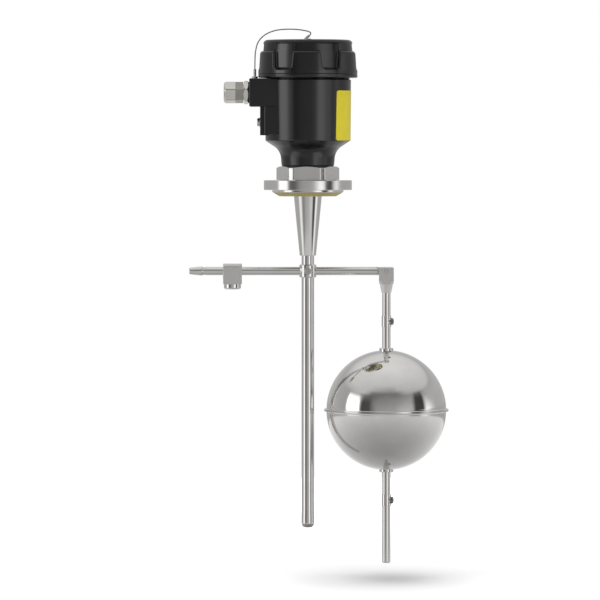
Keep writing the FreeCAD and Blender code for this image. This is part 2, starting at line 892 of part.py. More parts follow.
def recess_cutter():
    """One gap between two grips, open outwards and upwards, for the side facing -Y."""
    foot_z = lid_bottom_z + recess_foot_rise
    top_z = lid_bottom_z + lug_top_rise + overrun
    corners = [
        V(-recess_foot_width / 2, 0, foot_z), V(recess_foot_width / 2, 0, foot_z),
        V(recess_top_width / 2, 0, top_z), V(-recess_top_width / 2, 0, top_z),
    ]
    face = Part.Face(Part.makePolygon(corners + corners[:1]))
    wedge = face.extrude(V(0, -lid_skirt_radius - overrun, 0))
    feet = [
        edge for edge in wedge.Edges
        if abs(edge.tangentAt(edge.FirstParameter).y) > 0.9 and edge.CenterOfMass.z < foot_z + 1
    ]
    return wedge.makeFillet(recess_corner_radius, feet)


def lid():
    band_top = lid_bottom_z + lid_band_height
    lug_top = lid_bottom_z + lug_top_rise
    groove = lid_groove_depth
    core = turned([
        (0, lid_bottom_z), (lid_skirt_radius - lid_skirt_chamfer, lid_bottom_z),
        (lid_skirt_radius, lid_bottom_z + lid_skirt_chamfer),
        (lid_skirt_radius, lid_groove_z - groove), (lid_skirt_radius - groove, lid_groove_z),
        (lid_skirt_radius, lid_groove_z + groove),
        (lid_skirt_radius, band_top), (lid_floor_radius, band_top + lid_band_bevel),
        (lid_shoulder_radius, lug_top), (lid_top_radius, lid_top_z), (0, lid_top_z),
    ])
    core = core.makeFillet(lid_top_fillet, rim_edges(core, lid_top_z, lid_top_radius))
    root = lid_shoulder_radius - overrun
    grips = turned([
        (root, band_top), (lid_skirt_radius, band_top), (lug_top_radius, lug_top), (root, lug_top),
    ])
    grips = grips.makeFillet(lug_edge_fillet, rim_edges(grips, lug_top, lug_top_radius))
    for step in range(lug_count):
        cutter = recess_cutter()
        cutter.rotate(V(0, 0, 0), Z_AXIS, lug_turn_deg + 360 / lug_count * (step + 0.5))
        grips = grips.cut(cutter)
    thread = thread_radius + running_gap
    inside = turned([
        (0, lid_bottom_z - overrun), (thread, lid_bottom_z - overrun),
        (thread, lid_inner_z - lid_inner_bevel), (thread - lid_inner_bevel, lid_inner_z), (0, lid_inner_z),
    ])
    hole = upright(swivel_shank_radius + running_gap, lid_inner_z - overrun, lid_top_z + overrun)
    return joined([core, grips]).cut([inside, hole])


def tether_anchor():
    flange_z = entry_top_z + anchor_flange_thickness
    foot_z = entry_top_z - anchor_shank_length + anchor_hole_room
    shank = upright(anchor_shank_radius - weld_gap, foot_z, entry_top_z, -anchor_x)
    flange = upright(anchor_flange_radius, entry_top_z, flange_z, -anchor_x)
    flange = flange.makeFillet(tether_edge_fillet, rim_edges(flange, flange_z, anchor_flange_radius))
    ferrule = upright(anchor_ferrule_radius, flange_z, flange_z + anchor_ferrule_length, -anchor_x)
    return joined([shank, flange, ferrule])


def tether_swivel():
    gap = 2 * seat_gap
    head_z = lid_top_z + gap
    shank = upright(swivel_shank_radius, lid_inner_z - gap, head_z)
    lower = upright(swivel_head_radius, lid_inner_z - gap - swivel_head_thickness, lid_inner_z - gap)
    upper = upright(swivel_head_radius, head_z, head_z + swivel_head_thickness)
    rim = rim_edges(upper, head_z + swivel_head_thickness, swivel_head_radius)
    upper = upper.makeFillet(tether_edge_fillet, rim)
    return joined([shank, lower, upper])


def tether_ferrule():
    """The leaning sleeve on the lid's swivel that the wire ends in."""
    head_z = lid_top_z + 2 * seat_gap + swivel_head_thickness
    tilt = math.radians(swivel_ferrule_tilt_deg)
    along = V(math.sin(tilt), 0, math.cos(tilt))
    sunk = swivel_ferrule_radius * math.tan(tilt)
    start = V(swivel_ferrule_x, 0, head_z) - along * sunk
    ferrule = Part.makeCylinder(swivel_ferrule_radius, swivel_ferrule_length + sunk, start, along)
    below = box((-lid_top_radius, -lid_top_radius, lid_inner_z), (lid_top_radius, lid_top_radius, head_z))
    return ferrule.cut(below)


def tether_wire():
    """Straight runs joined by tangent arcs along the hand-chosen route."""
    points = [V(x, 0, z) for x, z in wire_route]
    edges = []
    start = points[0]
    for before, corner, after in zip(points, points[1:], points[2:]):
        back = before - corner
        ahead = after - corner
        reach = arc_share * min(back.Length, ahead.Length)
        turn = math.pi - back.getAngle(ahead)
        radius = reach / math.tan(turn / 2)
        print("wire bend radius", round(radius, 2))
        arc_in = corner + back.normalize() * reach
        arc_out = corner + ahead.normalize() * reach
        bisector = (back + ahead).normalize()
        centre = corner + bisector * math.hypot(radius, reach)
        middle = centre - bisector * radius
        edges.append(Part.LineSegment(start, arc_in).toShape())
        edges.append(Part.Arc(arc_in, middle, arc_out).toShape())
        start = arc_out
    edges.append(Part.LineSegment(start, points[-1]).toShape())
    path = Part.Wire(edges)
    first = points[1] - points[0]
    ring = Part.Wire([Part.Circle(points[0], first, wire_radius).toShape()])
    tube = path.makePipeShell([ring], True, False)
    length = sum(edge.Length for edge in edges)
    straight_volume = length * math.pi * wire_radius ** 2
    print("wire length", round(length, 2), "volume ratio", round(tube.Volume / straight_volume, 4))
    return tube


# Lever

def rocker_hub():
    low_z = lever_z - hub_height / 2
    high_z = lever_z + hub_height / 2
    hub = upright(hub_radius, low_z, high_z)
    rims = rim_edges(hub, low_z, hub_radius) + rim_edges(hub, high_z, hub_radius)
    hub = hub.makeChamfer(hub_chamfer, rims)
    flat_y = hub_radius - spot_face_depth
    cuts = [
        upright(hub_bore_radius, low_z - overrun, high_z + overrun),
        rod(pivot_radius, (0, -hub_radius - overrun, lever_z), (0, hub_radius + overrun, lever_z)),
        rod(pivot_head_radius + seat_gap, (0, -hub_radius - overrun, lever_z), (0, -flat_y, lever_z)),
        rod(pivot_rivet_radius + seat_gap, (0, flat_y, lever_z), (0, hub_radius + overrun, lever_z)),
    ]
    return hub.cut(cuts)


def pivot_pin():
    flat_y = hub_radius - spot_face_depth
    head = rod(pivot_head_radius, (0, -flat_y - pivot_head_height, lever_z), (0, -flat_y, lever_z))
    rim = edges_at(head, lambda p: abs(p.y + flat_y + pivot_head_height) < 0.05)
    head = head.makeFillet(pivot_head_fillet, rim)
    pin = rod(pivot_radius, (0, -flat_y, lever_z), (0, flat_y, lever_z))
    rivet = rod(pivot_rivet_radius, (0, flat_y, lever_z), (0, hub_radius, lever_z))
    return joined([head, pin, rivet])


def right_arm():
    bar = rod(arm_radius, (0, 0, lever_z), (right_arm_end_x, 0, lever_z))
    outer = edges_at(bar, lambda p: abs(p.x - right_arm_end_x) < 0.05)
    bar = bar.makeChamfer(arm_end_chamfer, outer)
    tongue_half = fork_slot_width / 2 - tongue_side_gap
    nose_x = fork_x + fork_width / 2 - tongue_end_gap - tongue_half_height
    low = (right_arm_end_x - tongue_root, -tongue_half, lever_z - tongue_half_height)
    tongue = box(low, (nose_x, tongue_half, lever_z + tongue_half_height))
    nose = rod(tongue_half_height, (nose_x, -tongue_half, lever_z), (nose_x, tongue_half, lever_z))
    arm = joined([bar, tongue, nose])
    cuts = [
        upright(hub_radius, lever_z - hub_height, lever_z + hub_height),
        rod(magnet_radius + weld_gap, (0, 0, lever_z), (hub_radius + magnet_length + seat_gap, 0, lever_z)),
        rod(fork_pin_radius + running_gap, (fork_x, -fork_depth, lever_z), (fork_x, fork_depth, lever_z)),
    ]
    return arm.cut(cuts)


def switching_magnet():
    start_x = hub_radius + weld_gap
    return rod(magnet_radius, (start_x, 0, lever_z), (start_x + magnet_length, 0, lever_z))


def left_arm():
    bar = rod(arm_radius, (-left_arm_end_x, 0, lever_z), (0, 0, lever_z))
    bar = bar.cut(upright(hub_radius, lever_z - hub_height, lever_z + hub_height))
    socket_start = -left_arm_end_x - overrun
    socket_end = -left_arm_end_x + tip_stud_length + seat_gap
    return bar.cut(rod(tip_stud_radius + weld_gap, (socket_start, 0, lever_z), (socket_end, 0, lever_z)))


def arm_tip():
    root_x = -left_arm_end_x
    nose_x = root_x - tip_length
    tip = turned_on_x([
        (root_x, 0), (root_x, arm_radius), (root_x - tip_neck_reach, tip_neck_radius),
        (root_x - tip_bulge_reach, tip_bulge_radius), (nose_x + tip_nose_bevel, tip_nose_radius),
        (nose_x, tip_nose_radius - tip_nose_bevel), (nose_x, 0),
    ], lever_z)
    stud = rod(tip_stud_radius, (root_x, 0, lever_z), (root_x + tip_stud_length, 0, lever_z))
    return joined([tip, stud])


# Counterweight

def counterweight_block():
    half = weight_width / 2
    low_z = lever_z - weight_drop
    high_z = lever_z + weight_rise
    block = box((weight_x - half, -weight_depth / 2, low_z), (weight_x + half, weight_depth / 2, high_z))
    top = edges_at(block, lambda p: abs(p.z - high_z) < 0.05 and abs(p.x - weight_x) < 0.05)
    block = block.makeFillet(weight_top_round, top)
    ends = edges_at(block, lambda p: abs(abs(p.x - weight_x) - half) < 0.05)
    block = block.makeFillet(weight_edge_round, ends)
    bore_start, bore_end = (weight_x - weight_width, 0, lever_z), (weight_x + weight_width, 0, lever_z)
    bore = rod(arm_radius + running_gap, bore_start, bore_end)
    return block.cut([bore, upright(clamp_stud_radius + weld_gap, low_z - overrun, lever_z, weight_x)])


def clamp_screw():
    seat_z = lever_z - weight_drop
    foot_z = seat_z - clamp_head_height
    head = upright(clamp_head_radius, foot_z, seat_z, weight_x)
    head = head.makeFillet(clamp_head_round, rim_edges(head, foot_z, clamp_head_radius))
    stud_top = lever_z - arm_radius - running_gap * 2
    return joined([head, upright(clamp_stud_radius, seat_z, stud_top, weight_x)])


# Float rod with its fork

def fork_head():
    high_z = lever_z + fork_rise
    low_z = lever_z - fork_drop
    half = fork_width / 2
    block = box((fork_x - half, -fork_depth / 2, low_z), (fork_x + half, fork_depth / 2, high_z))
    top = edges_at(block, lambda p: abs(p.z - high_z) < 0.05)
    block = block.makeFillet(fork_edge_radius, top)
    corner = half + fork_corner_reach
    crown = turned([
        (0, low_z), (half - fork_foot_inset, low_z), (corner, low_z + fork_corner_rise),
        (corner, high_z + overrun), (0, high_z + overrun),
    ], fork_x)
    block = block.common(crown)
    foot_z = low_z - fork_neck_length
    neck = turned([
        (0, low_z), (fork_neck_top_radius, low_z),
        (fork_neck_foot_radius + fork_neck_bevel, foot_z + fork_neck_bevel_height),
        (fork_neck_foot_radius, foot_z), (0, foot_z),
    ], fork_x)
    slot = box(
        (fork_x - fork_width, -fork_slot_width / 2, lever_z - fork_slot_drop),
        (fork_x + fork_width, fork_slot_width / 2, high_z + overrun))
    pin_bore = rod(fork_pin_radius + weld_gap, (fork_x, -fork_depth, lever_z), (fork_x, fork_depth, lever_z))
    socket = upright(rod_radius + weld_gap, foot_z - overrun, foot_z + rod_socket, fork_x)
    return joined([block, neck]).cut([slot, pin_bore, socket])


def fork_pin():
    half = fork_depth / 2
    pin = rod(fork_pin_radius, (fork_x, -half, lever_z), (fork_x, half, lever_z))
    return pin.makeChamfer(fork_pin_chamfer, edges_at(pin, lambda p: abs(abs(p.y) - half) < 0.05))


def float_rod():
    top_z = lever_z - fork_drop - fork_neck_length + rod_socket
    bar = upright(rod_radius, rod_bottom_z, top_z, fork_x)
    return bar.makeChamfer(rod_chamfer, rim_edges(bar, rod_bottom_z, rod_radius))


# Float

def float_half(side):
    """One pressed half shell with its welding lip; side is 1 above and -1 below."""
    inner = float_radius - float_wall
    bore = sleeve_radius + weld_gap
    inner_end = math.sqrt(inner ** 2 - bore ** 2)
    outer_end = math.sqrt(float_radius ** 2 - bore ** 2)
    lip = seam_height / 2
    lip_foot = math.sqrt(float_radius ** 2 - lip ** 2)

    def at(radius, rise):
        return V(fork_x + radius, 0, float_z + side * rise)

    def on_sphere(radius, angle_deg):
        angle = math.radians(angle_deg)
        return at(radius * math.cos(angle), radius * math.sin(angle))

    edges = [
        Part.LineSegment(at(inner, 0), at(seam_radius, 0)).toShape(),
        Part.LineSegment(at(seam_radius, 0), at(seam_radius, lip)).toShape(),
        Part.LineSegment(at(seam_radius, lip), at(lip_foot, lip)).toShape(),
        Part.Arc(at(lip_foot, lip), on_sphere(float_radius, 45), at(bore, outer_end)).toShape(),
        Part.LineSegment(at(bore, outer_end), at(bore, inner_end)).toShape(),
        Part.Arc(at(bore, inner_end), on_sphere(inner, 45), at(inner, 0)).toShape(),
    ]
    return turned_wire(edges, fork_x)


def collar_seat():
    return math.sqrt(float_radius ** 2 - collar_radius ** 2)


def float_sleeve():
    end = collar_seat() + collar_height
    tube = upright(sleeve_radius, float_z - end, float_z + end, fork_x)
    return tube.cut(upright(float_bore, float_z - end - overrun, float_z + end + overrun, fork_x))


def float_collar(side):
    low = collar_seat() - collar_skirt
    high = collar_seat() + collar_height
    ring = upright(collar_radius, float_z + low, float_z + high, fork_x)
    ring = ring.makeFillet(collar_fillet, rim_edges(ring, float_z + high, collar_radius))
    ring = ring.cut(upright(sleeve_radius + weld_gap, float_z, float_z + high + overrun, fork_x))
    ball = Part.makeSphere(float_radius, V(fork_x, 0, float_z))
    ring = ring.cut(ball)
    if side < 0:
        ring = ring.mirror(V(0, 0, float_z), Z_AXIS)
    return ring


# Stops

def stop_direction():
    angle = math.radians(stop_screw_turn_deg)
    return V(math.cos(angle), math.sin(angle), 0)


def stop_middle(low_z):
    return V(fork_x, 0, low_z + stop_height / 2)


def stop_collar(low_z):
    high_z = low_z + stop_height
    ring = upright(stop_radius, low_z, high_z, fork_x)
    rims = rim_edges(ring, low_z, stop_radius) + rim_edges(ring, high_z, stop_radius)
    ring = ring.makeChamfer(stop_chamfer, rims)
    boss = Part.makeCylinder(stop_boss_radius, stop_boss_reach, stop_middle(low_z), stop_direction())
    bore = upright(rod_radius + running_gap, low_z - overrun, high_z + overrun, fork_x)
    tap_length = stop_boss_reach + overrun
    tap = Part.makeCylinder(stop_screw_radius + weld_gap, tap_length, stop_middle(low_z), stop_direction())
    return joined([ring, boss]).cut([bore, tap])


def stop_screw(low_z):
    direction = stop_direction()
    seat = stop_middle(low_z) + direction * stop_boss_reach
    head = Part.makeCylinder(stop_screw_head_radius, stop_screw_head_height, seat, direction)
    outer = seat + direction * stop_screw_head_height
    far_rim = [
        edge for edge in head.Edges
        if isinstance(edge.Curve, Part.Circle) and (edge.Curve.Center - outer).Length < 0.05
    ]
    head = head.makeFillet(stop_screw_head_fillet, far_rim)
    tip = rod_radius + running_gap * 2
    tip_point = stop_middle(low_z) + direction * tip
    shank = Part.makeCylinder(stop_screw_radius, stop_boss_reach - tip, tip_point, direction)
    socket = hex_prism(stop_socket_across, -stop_socket_depth, overrun)
    socket.rotate(V(0, 0, 0), Y_AXIS, 90)
    socket.rotate(V(0, 0, 0), Z_AXIS, stop_screw_turn_deg)
    socket.translate(outer)
    return joined([head, shank]).cut(socket)


parts = {
    "process_fitting": process_fitting(),
    "neck_gasket": neck_gasket(),
    "flange_seal": flange_seal(),
    "taper_sleeve": taper_sleeve(),
    "immersion_tube": immersion_tube(),
    "tube_end_plug": tube_end_plug(),
    "pivot_bush": pivot_bush(),
    "contact_carrier": contact_carrier(),
    "reed_capsule": reed_capsule(),
    "contact_leads": contact_leads(),
    "housing_shell": housing_shell(),
    "entry_block": entry_block(),
    "side_pad": side_pad(),
    "terminal_posts": terminal_posts(),
    "lid_seal": lid_seal(),
    "type_label": type_label(),
    "terminal_base": terminal_base(),
    "terminal_block": terminal_block(),
    "terminal_screws": terminal_screws(),
    "terminal_base_screws": terminal_base_screws(),
    "inner_earth_screw": inner_earth_screw(),
    "outer_earth_screw": outer_earth_screw(),
    "earth_washer": earth_washer(),
    "gland_washer": gland_washer(),
    "gland_body": gland_body(),
    "gland_nut": gland_nut(),
    "gland_claw": gland_claw(),
    "gland_seal": gland_seal(),
    "lid": lid(),
    "tether_anchor": tether_anchor(),
    "tether_swivel": tether_swivel(),
    "tether_ferrule": tether_ferrule(),
    "tether_wire": tether_wire(),
    "rocker_hub": rocker_hub(),
    "pivot_pin": pivot_pin(),
    "right_arm": right_arm(),
    "switching_magnet": switching_magnet(),
    "left_arm": left_arm(),
    "arm_tip": arm_tip(),
    "counterweight_block": counterweight_block(),
    "clamp_screw": clamp_screw(),
    "fork_head": fork_head(),
    "fork_pin": fork_pin(),
    "float_rod": float_rod(),
    "float_upper_shell": float_half(1),
    "float_lower_shell": float_half(-1),
    "float_sleeve": float_sleeve(),
    "float_top_collar": float_collar(1),
    "float_bottom_collar": float_collar(-1),
    "upper_stop_collar": stop_collar(upper_stop_z),
    "upper_stop_screw": stop_screw(upper_stop_z),
    "lower_stop_collar": stop_collar(lower_stop_z),
    "lower_stop_screw": stop_screw(lower_stop_z),
}

os.makedirs("parts", exist_ok=True)
for node, shape in parts.items():
    shape.exportStep("parts/" + node + ".step")
    print(node, len(shape.Solids), "valid" if shape.isValid() else "NOT VALID", round(shape.Volume, 1))
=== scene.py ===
import json
import math
import bmesh
import bpy
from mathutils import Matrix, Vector
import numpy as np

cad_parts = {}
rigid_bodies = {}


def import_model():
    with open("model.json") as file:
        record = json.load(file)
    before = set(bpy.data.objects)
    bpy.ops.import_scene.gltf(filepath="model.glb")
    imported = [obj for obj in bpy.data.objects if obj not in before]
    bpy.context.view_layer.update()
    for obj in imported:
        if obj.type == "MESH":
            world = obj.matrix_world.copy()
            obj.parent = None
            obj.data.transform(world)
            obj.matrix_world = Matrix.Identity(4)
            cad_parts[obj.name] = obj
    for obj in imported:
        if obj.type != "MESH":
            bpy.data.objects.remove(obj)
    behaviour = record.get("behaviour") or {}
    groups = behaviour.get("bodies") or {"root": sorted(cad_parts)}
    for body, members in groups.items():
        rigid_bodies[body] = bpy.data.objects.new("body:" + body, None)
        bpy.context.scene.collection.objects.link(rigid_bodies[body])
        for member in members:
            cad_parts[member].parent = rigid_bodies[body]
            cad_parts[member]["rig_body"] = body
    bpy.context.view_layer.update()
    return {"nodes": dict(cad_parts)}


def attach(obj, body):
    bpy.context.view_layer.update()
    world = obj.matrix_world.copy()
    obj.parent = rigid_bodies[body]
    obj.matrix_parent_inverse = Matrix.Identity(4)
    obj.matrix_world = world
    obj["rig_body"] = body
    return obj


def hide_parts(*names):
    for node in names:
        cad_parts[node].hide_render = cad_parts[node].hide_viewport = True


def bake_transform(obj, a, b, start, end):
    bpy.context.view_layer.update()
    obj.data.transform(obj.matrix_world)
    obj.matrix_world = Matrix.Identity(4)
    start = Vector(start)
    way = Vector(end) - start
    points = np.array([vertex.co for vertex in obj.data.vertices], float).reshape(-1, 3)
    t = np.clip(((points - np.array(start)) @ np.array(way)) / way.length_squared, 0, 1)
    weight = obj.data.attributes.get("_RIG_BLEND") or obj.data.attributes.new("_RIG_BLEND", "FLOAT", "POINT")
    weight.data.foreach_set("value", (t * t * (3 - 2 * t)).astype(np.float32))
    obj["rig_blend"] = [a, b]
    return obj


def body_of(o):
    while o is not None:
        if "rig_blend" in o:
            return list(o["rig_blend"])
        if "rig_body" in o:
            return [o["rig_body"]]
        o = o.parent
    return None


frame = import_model()
scene = bpy.context.scene
scene.view_settings.view_transform = "Standard"

# The pieces' sizes are in millimetres, counted from the tube's axis and from the flange's
# underside. Camera, floor and lamps are in metres.
mm = 0.001
float_axis = 75.0

# Camera: long lens, from just above the flange, as in the photo

camera_distance = 5.2
camera_height = 0.044
aim = Vector((-0.0075, 0.0, -0.10507))
frame_width = 0.573
sensor_width = 36.0

camera_data = bpy.data.cameras.new("camera")
camera_data.sensor_width = sensor_width
camera_data.lens = sensor_width * camera_distance / frame_width
camera_data.clip_end = 100.0
camera = bpy.data.objects.new("camera", camera_data)
camera.location = (aim.x, -camera_distance, camera_height)
camera.rotation_mode = "QUATERNION"
camera.rotation_quaternion = (aim - camera.location).to_track_quat("-Z", "Y")
scene.collection.objects.link(camera)
scene.camera = camera


# Materials

def new_material(name):
    """A material with its node tree and main shader."""
    material = bpy.data.materials.new(name)
    material.use_nodes = True
    tree = material.node_tree
    shader = tree.nodes["Principled BSDF"]
    return material, tree, shader


def node(tree, kind, **values):
    """A new node, with values for its inputs or settings of those names."""
    made = tree.nodes.new(kind)
    for key, value in values.items():
        if key in made.inputs:
            made.inputs[key].default_value = value
        else:
            setattr(made, key, value)
    return made


def object_noise(tree, scale, stretch=(1, 1, 1), detail=3.0, roughness=0.5):
    """A noise pattern fixed to the piece, stretched along its axes."""
    place = node(tree, "ShaderNodeTexCoord")
    mapping = node(tree, "ShaderNodeMapping")
    mapping.inputs["Scale"].default_value = stretch
    noise = node(tree, "ShaderNodeTexNoise", Scale=scale, Detail=detail, Roughness=roughness)
    tree.links.new(place.outputs["Object"], mapping.inputs["Vector"])
    tree.links.new(mapping.outputs["Vector"], noise.inputs["Vector"])
    return noise.outputs["Fac"]


def spread(tree, value, low, high, from_low=0.3, from_high=0.7):
    """Maps a value's range to another. The preset input range is the usual one of a noise."""
    remap = node(tree, "ShaderNodeMapRange")
    remap.inputs["From Min"].default_value = from_low
    remap.inputs["From Max"].default_value = from_high
    remap.inputs["To Min"].default_value = low
    remap.inputs["To Max"].default_value = high
    tree.links.new(value, remap.inputs["Value"])
    return remap.outputs["Result"]


def along_curve(tree, value, points):
    """A smooth curve through (input, output) points, for inputs from 0 to 1."""
    made = node(tree, "ShaderNodeFloatCurve")
    line = made.mapping.curves[0]
    line.points[0].location, line.points[1].location = points[0], points[-1]
    for point in points[1:-1]:
        line.points.new(*point)
    made.mapping.update()
    tree.links.new(value, made.inputs["Value"])
    return made.outputs[0]


def calculate(tree, operation, first, second=None):
    """A sum or the like, of numbers or of other nodes' outputs."""
    made = node(tree, "ShaderNodeMath", operation=operation)
    for socket, value in zip(made.inputs, (first, second)):
        if isinstance(value, (int, float)):
            socket.default_value = value
        elif value is not None:
            tree.links.new(value, socket)
    return made.outputs[0]


def length_of(tree, vector):
    made = node(tree, "ShaderNodeVectorMath", operation="LENGTH")
    tree.links.new(vector, made.inputs[0])
    return made.outputs["Value"]


def colour_sockets(sockets):
    return [socket for socket in sockets if socket.type == "RGBA"]


def two_tone(tree, value, first, second):
    """The first colour where the value is 0, the second where it is 1."""
    mix = node(tree, "ShaderNodeMix", data_type="RGBA")
    for socket, colour in zip(colour_sockets(mix.inputs), (first, second)):
        socket.default_value = colour
    tree.links.new(value, mix.inputs["Factor"])
    return colour_sockets(mix.outputs)[0]


def mix_shaders(tree, factor, first, second):
    """The first shader where the factor is 0, the second where it is 1."""
    choice = node(tree, "ShaderNodeMixShader")
    for socket, value in zip(choice.inputs, (factor, first, second)):
        tree.links.new(value, socket)
    return choice.outputs[0]


def add_bump(tree, shader, heights):
    """Chains bumps from (value, distance in metres, strength) entries."""
    previous = None
    for value, distance, strength in heights:
        bump = node(tree, "ShaderNodeBump", Strength=strength, Distance=distance)
        tree.links.new(value, bump.inputs["Height"])
        if previous is not None:
            tree.links.new(previous, bump.inputs["Normal"])
        previous = bump.outputs["Normal"]
    tree.links.new(previous, shader.inputs["Normal"])


def steel(name, colour, rough, stretch, line_scale, line_height, wander=0.03):
    """Bright metal with fine tool lines along one direction and faint hazy patches."""
    material, tree, shader = new_material(name)
    shader.inputs["Metallic"].default_value = 1.0
    haze = object_noise(tree, 55.0, detail=4.0)
    dark = tuple(c * 0.93 for c in colour) + (1.0,)
    tone = two_tone(tree, spread(tree, haze, 0.0, 1.0), colour + (1.0,), dark)
    tree.links.new(tone, shader.inputs["Base Color"])
    fine = object_noise(tree, line_scale, stretch, 4.0, 0.6)
    uneven = calculate(tree, "ADD", spread(tree, haze, rough - wander, rough + wander),
                       spread(tree, fine, -wander, wander))
    tree.links.new(uneven, shader.inputs["Roughness"])
    add_bump(tree, shader, [(fine, line_height, 0.6)])
    return material


# Tool lines run round a piece turned about z or x, or are even in all directions
ROUND_Z = (0.15, 0.15, 30.0)
ROUND_X = (30.0, 0.15, 0.15)
GROUND = (4.0, 4.0, 25.0)
EVEN = (1.0, 1.0, 1.0)

bright = (0.80, 0.79, 0.77)
turned_steel = steel("turned_steel", bright, 0.07, ROUND_Z, 60.0, 1e-6, 0.015)
# A darker copy of the turned steel: painted shade for the tube's foot.
painted_shade_steel = steel("painted_shade_steel", (0.51, 0.50, 0.49), 0.16, ROUND_Z, 60.0, 1e-6, 0.015)
arm_steel = steel("arm_steel", bright, 0.16, ROUND_X, 60.0, 3e-6)
fitting_steel = steel("fitting_steel", bright, 0.12, ROUND_Z, 60.0, 2e-6, 0.02)
hexagon_steel = steel("hexagon_steel", bright, 0.24, EVEN, 200.0, 2e-6, 0.03)
ball_steel = steel("ball_steel", bright, 0.06, ROUND_Z, 30.0, 1e-6, 0.015)
satin_ball = steel("satin_ball", (0.78, 0.77, 0.76), 0.12, ROUND_Z, 60.0, 2e-6, 0.03)
ground_steel = steel("ground_steel", (0.82, 0.81, 0.79), 0.44, GROUND, 60.0, 8e-6, 0.06)
screw_steel = steel("screw_steel", (0.62, 0.61, 0.58), 0.28, EVEN, 900.0, 8e-6, 0.05)
dark_screw = steel("dark_screw", (0.26, 0.26, 0.25), 0.3, EVEN, 900.0, 8e-6, 0.05)
wire_steel = steel("wire_steel", (0.42, 0.41, 0.39), 0.3, EVEN, 900.0, 8e-6, 0.05)
nickel = steel("nickel", (0.70, 0.68, 0.63), 0.24, ROUND_X, 80.0, 5e-6, 0.05)
# A darker copy of the nickel: painted shade for part of the gland nut.
painted_shade_nickel = steel("painted_shade_nickel", (0.36, 0.35, 0.32), 0.30, ROUND_X, 80.0, 5e-6, 0.05)


def black_coat(name, level, rough):
    """Satin powder coat: orange peel, fine grain, slightly rubbed patches."""
    material, tree, shader = new_material(name)
    patches = object_noise(tree, 40.0, detail=5.0)
    light = (level * 1.25, level * 1.25, level * 1.27, 1.0)
    base = (level, level, level * 1.03, 1.0)
    tone = two_tone(tree, spread(tree, patches, 0.0, 1.0), base, light)
    tree.links.new(tone, shader.inputs["Base Color"])
    tree.links.new(spread(tree, patches, rough - 0.02, rough + 0.02), shader.inputs["Roughness"])
    peel = object_noise(tree, 900.0, detail=2.0)
    grain = object_noise(tree, 4200.0, detail=2.0)
    add_bump(tree, shader, [(peel, 8e-6, 0.35), (grain, 2e-6, 0.5)])
    return material


housing_black = black_coat("housing_black", 0.005, 0.21)
lid_black = black_coat("lid_black", 0.005, 0.19)


def plain(name, colour, rough, grain_scale, grain_height, variation=0.12, **extra):
    """Rubber, plastic, foil and the like: slightly uneven tone and a fine grain."""
    material, tree, shader = new_material(name)
    patches = object_noise(tree, 120.0, detail=4.0)
    dark = tuple(c * (1 - variation) for c in colour) + (1.0,)
    tone = two_tone(tree, spread(tree, patches, 0.0, 1.0), colour + (1.0,), dark)
    tree.links.new(tone, shader.inputs["Base Color"])
    tree.links.new(spread(tree, patches, rough - 0.05, rough + 0.05), shader.inputs["Roughness"])
    add_bump(tree, shader, [(object_noise(tree, grain_scale, detail=3.0), grain_height, 0.5)])
    for key, value in extra.items():
        shader.inputs[key.replace("_", " ")].default_value = value
    return material


rubber = plain("rubber", (0.018, 0.018, 0.019), 0.62, 2500.0, 2e-5)
ochre = plain("ochre_gasket", (0.44, 0.37, 0.12), 0.55, 1500.0, 3e-5)
# A darker copy of the gasket's ochre: painted shade for its underside.
painted_shade_ochre = plain("painted_shade_ochre", (0.20, 0.185, 0.13), 0.6, 1500.0, 3e-5)
moulding = plain("grey_moulding", (0.40, 0.40, 0.38), 0.5, 2000.0, 1e-5)
copper = plain("tinned_copper", (0.70, 0.42, 0.28), 0.3, 1500.0, 1e-5, Metallic=1.0)
magnet_grey = plain("magnet_grey", (0.20, 0.20, 0.21), 0.45, 1500.0, 1e-5, Metallic=0.8)
glass = plain("capsule_glass", (0.85, 0.92, 0.88), 0.06, 400.0, 2e-6, Transmission_Weight=0.9)
foil = plain("yellow_foil", (0.84, 0.71, 0.025), 0.42, 1800.0, 1.2e-5, 0.05)


# Mesh helpers

def finish_mesh(name, bm, body, material, replaces=(), sharp_deg=32.0):
    """Turns a bmesh into a smooth-shaded piece with sharp creases, on its body."""
    for edge in bm.edges:
        edge.smooth = len(edge.link_faces) != 2 or edge.calc_face_angle(0.0) < math.radians(sharp_deg)
    for face in bm.faces:
        face.smooth = True
    mesh = bpy.data.meshes.new(name)
    bm.to_mesh(mesh)
    bm.free()
    obj = bpy.data.objects.new(name, mesh)
    scene.collection.objects.link(obj)
    mesh.materials.append(material)
    if body:
        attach(obj, body)
    if replaces:
        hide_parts(*replaces)
    return obj


def even_shading(obj):
    """Keeps flat faces flat where they meet rounded edges."""
    obj.modifiers.new("even_shading", "WEIGHTED_NORMAL").keep_sharp = True


def partly(obj, material, chosen):
    """Gives a second material to the faces that the test picks."""
    obj.data.materials.append(material)
    for face in obj.data.polygons:
        if chosen(face):
            face.material_index = 1


def skin(bm, rings):
    """Joins each ring of points to the next."""
    for low, high in zip(rings, rings[1:]):
        for step in range(len(low)):
            following = (step + 1) % len(low)
            bm.faces.new((low[step], low[following], high[following], high[step]))


def soften(profile, radius, steps=4):
    """Rounds the inner corners of an open profile. An entry's third number is its own radius."""
    result = [tuple(profile[0][:2])]
    for before, corner, after in zip(profile, profile[1:], profile[2:]):
        wanted = corner[2] if len(corner) > 2 else radius
        here = Vector(corner[:2])
        back, ahead = Vector(before[:2]) - here, Vector(after[:2]) - here
        angle = back.angle(ahead)
        if wanted <= 0 or angle > math.radians(174):
            result.append(tuple(here))
            continue
        reach = min(wanted / math.tan(angle / 2), back.length * 0.49, ahead.length * 0.49)
        true_radius = reach * math.tan(angle / 2)
        inward = (back.normalized() + ahead.normalized()).normalized()
        centre = here + inward * math.hypot(reach, true_radius)
        first = here + back.normalized() * reach - centre
        last = here + ahead.normalized() * reach - centre
        for step in range(steps + 1):
            mixed = first.lerp(last, step / steps)
            result.append(tuple(centre + mixed.normalized() * true_radius))
    result.append(tuple(profile[-1][:2]))
    return result


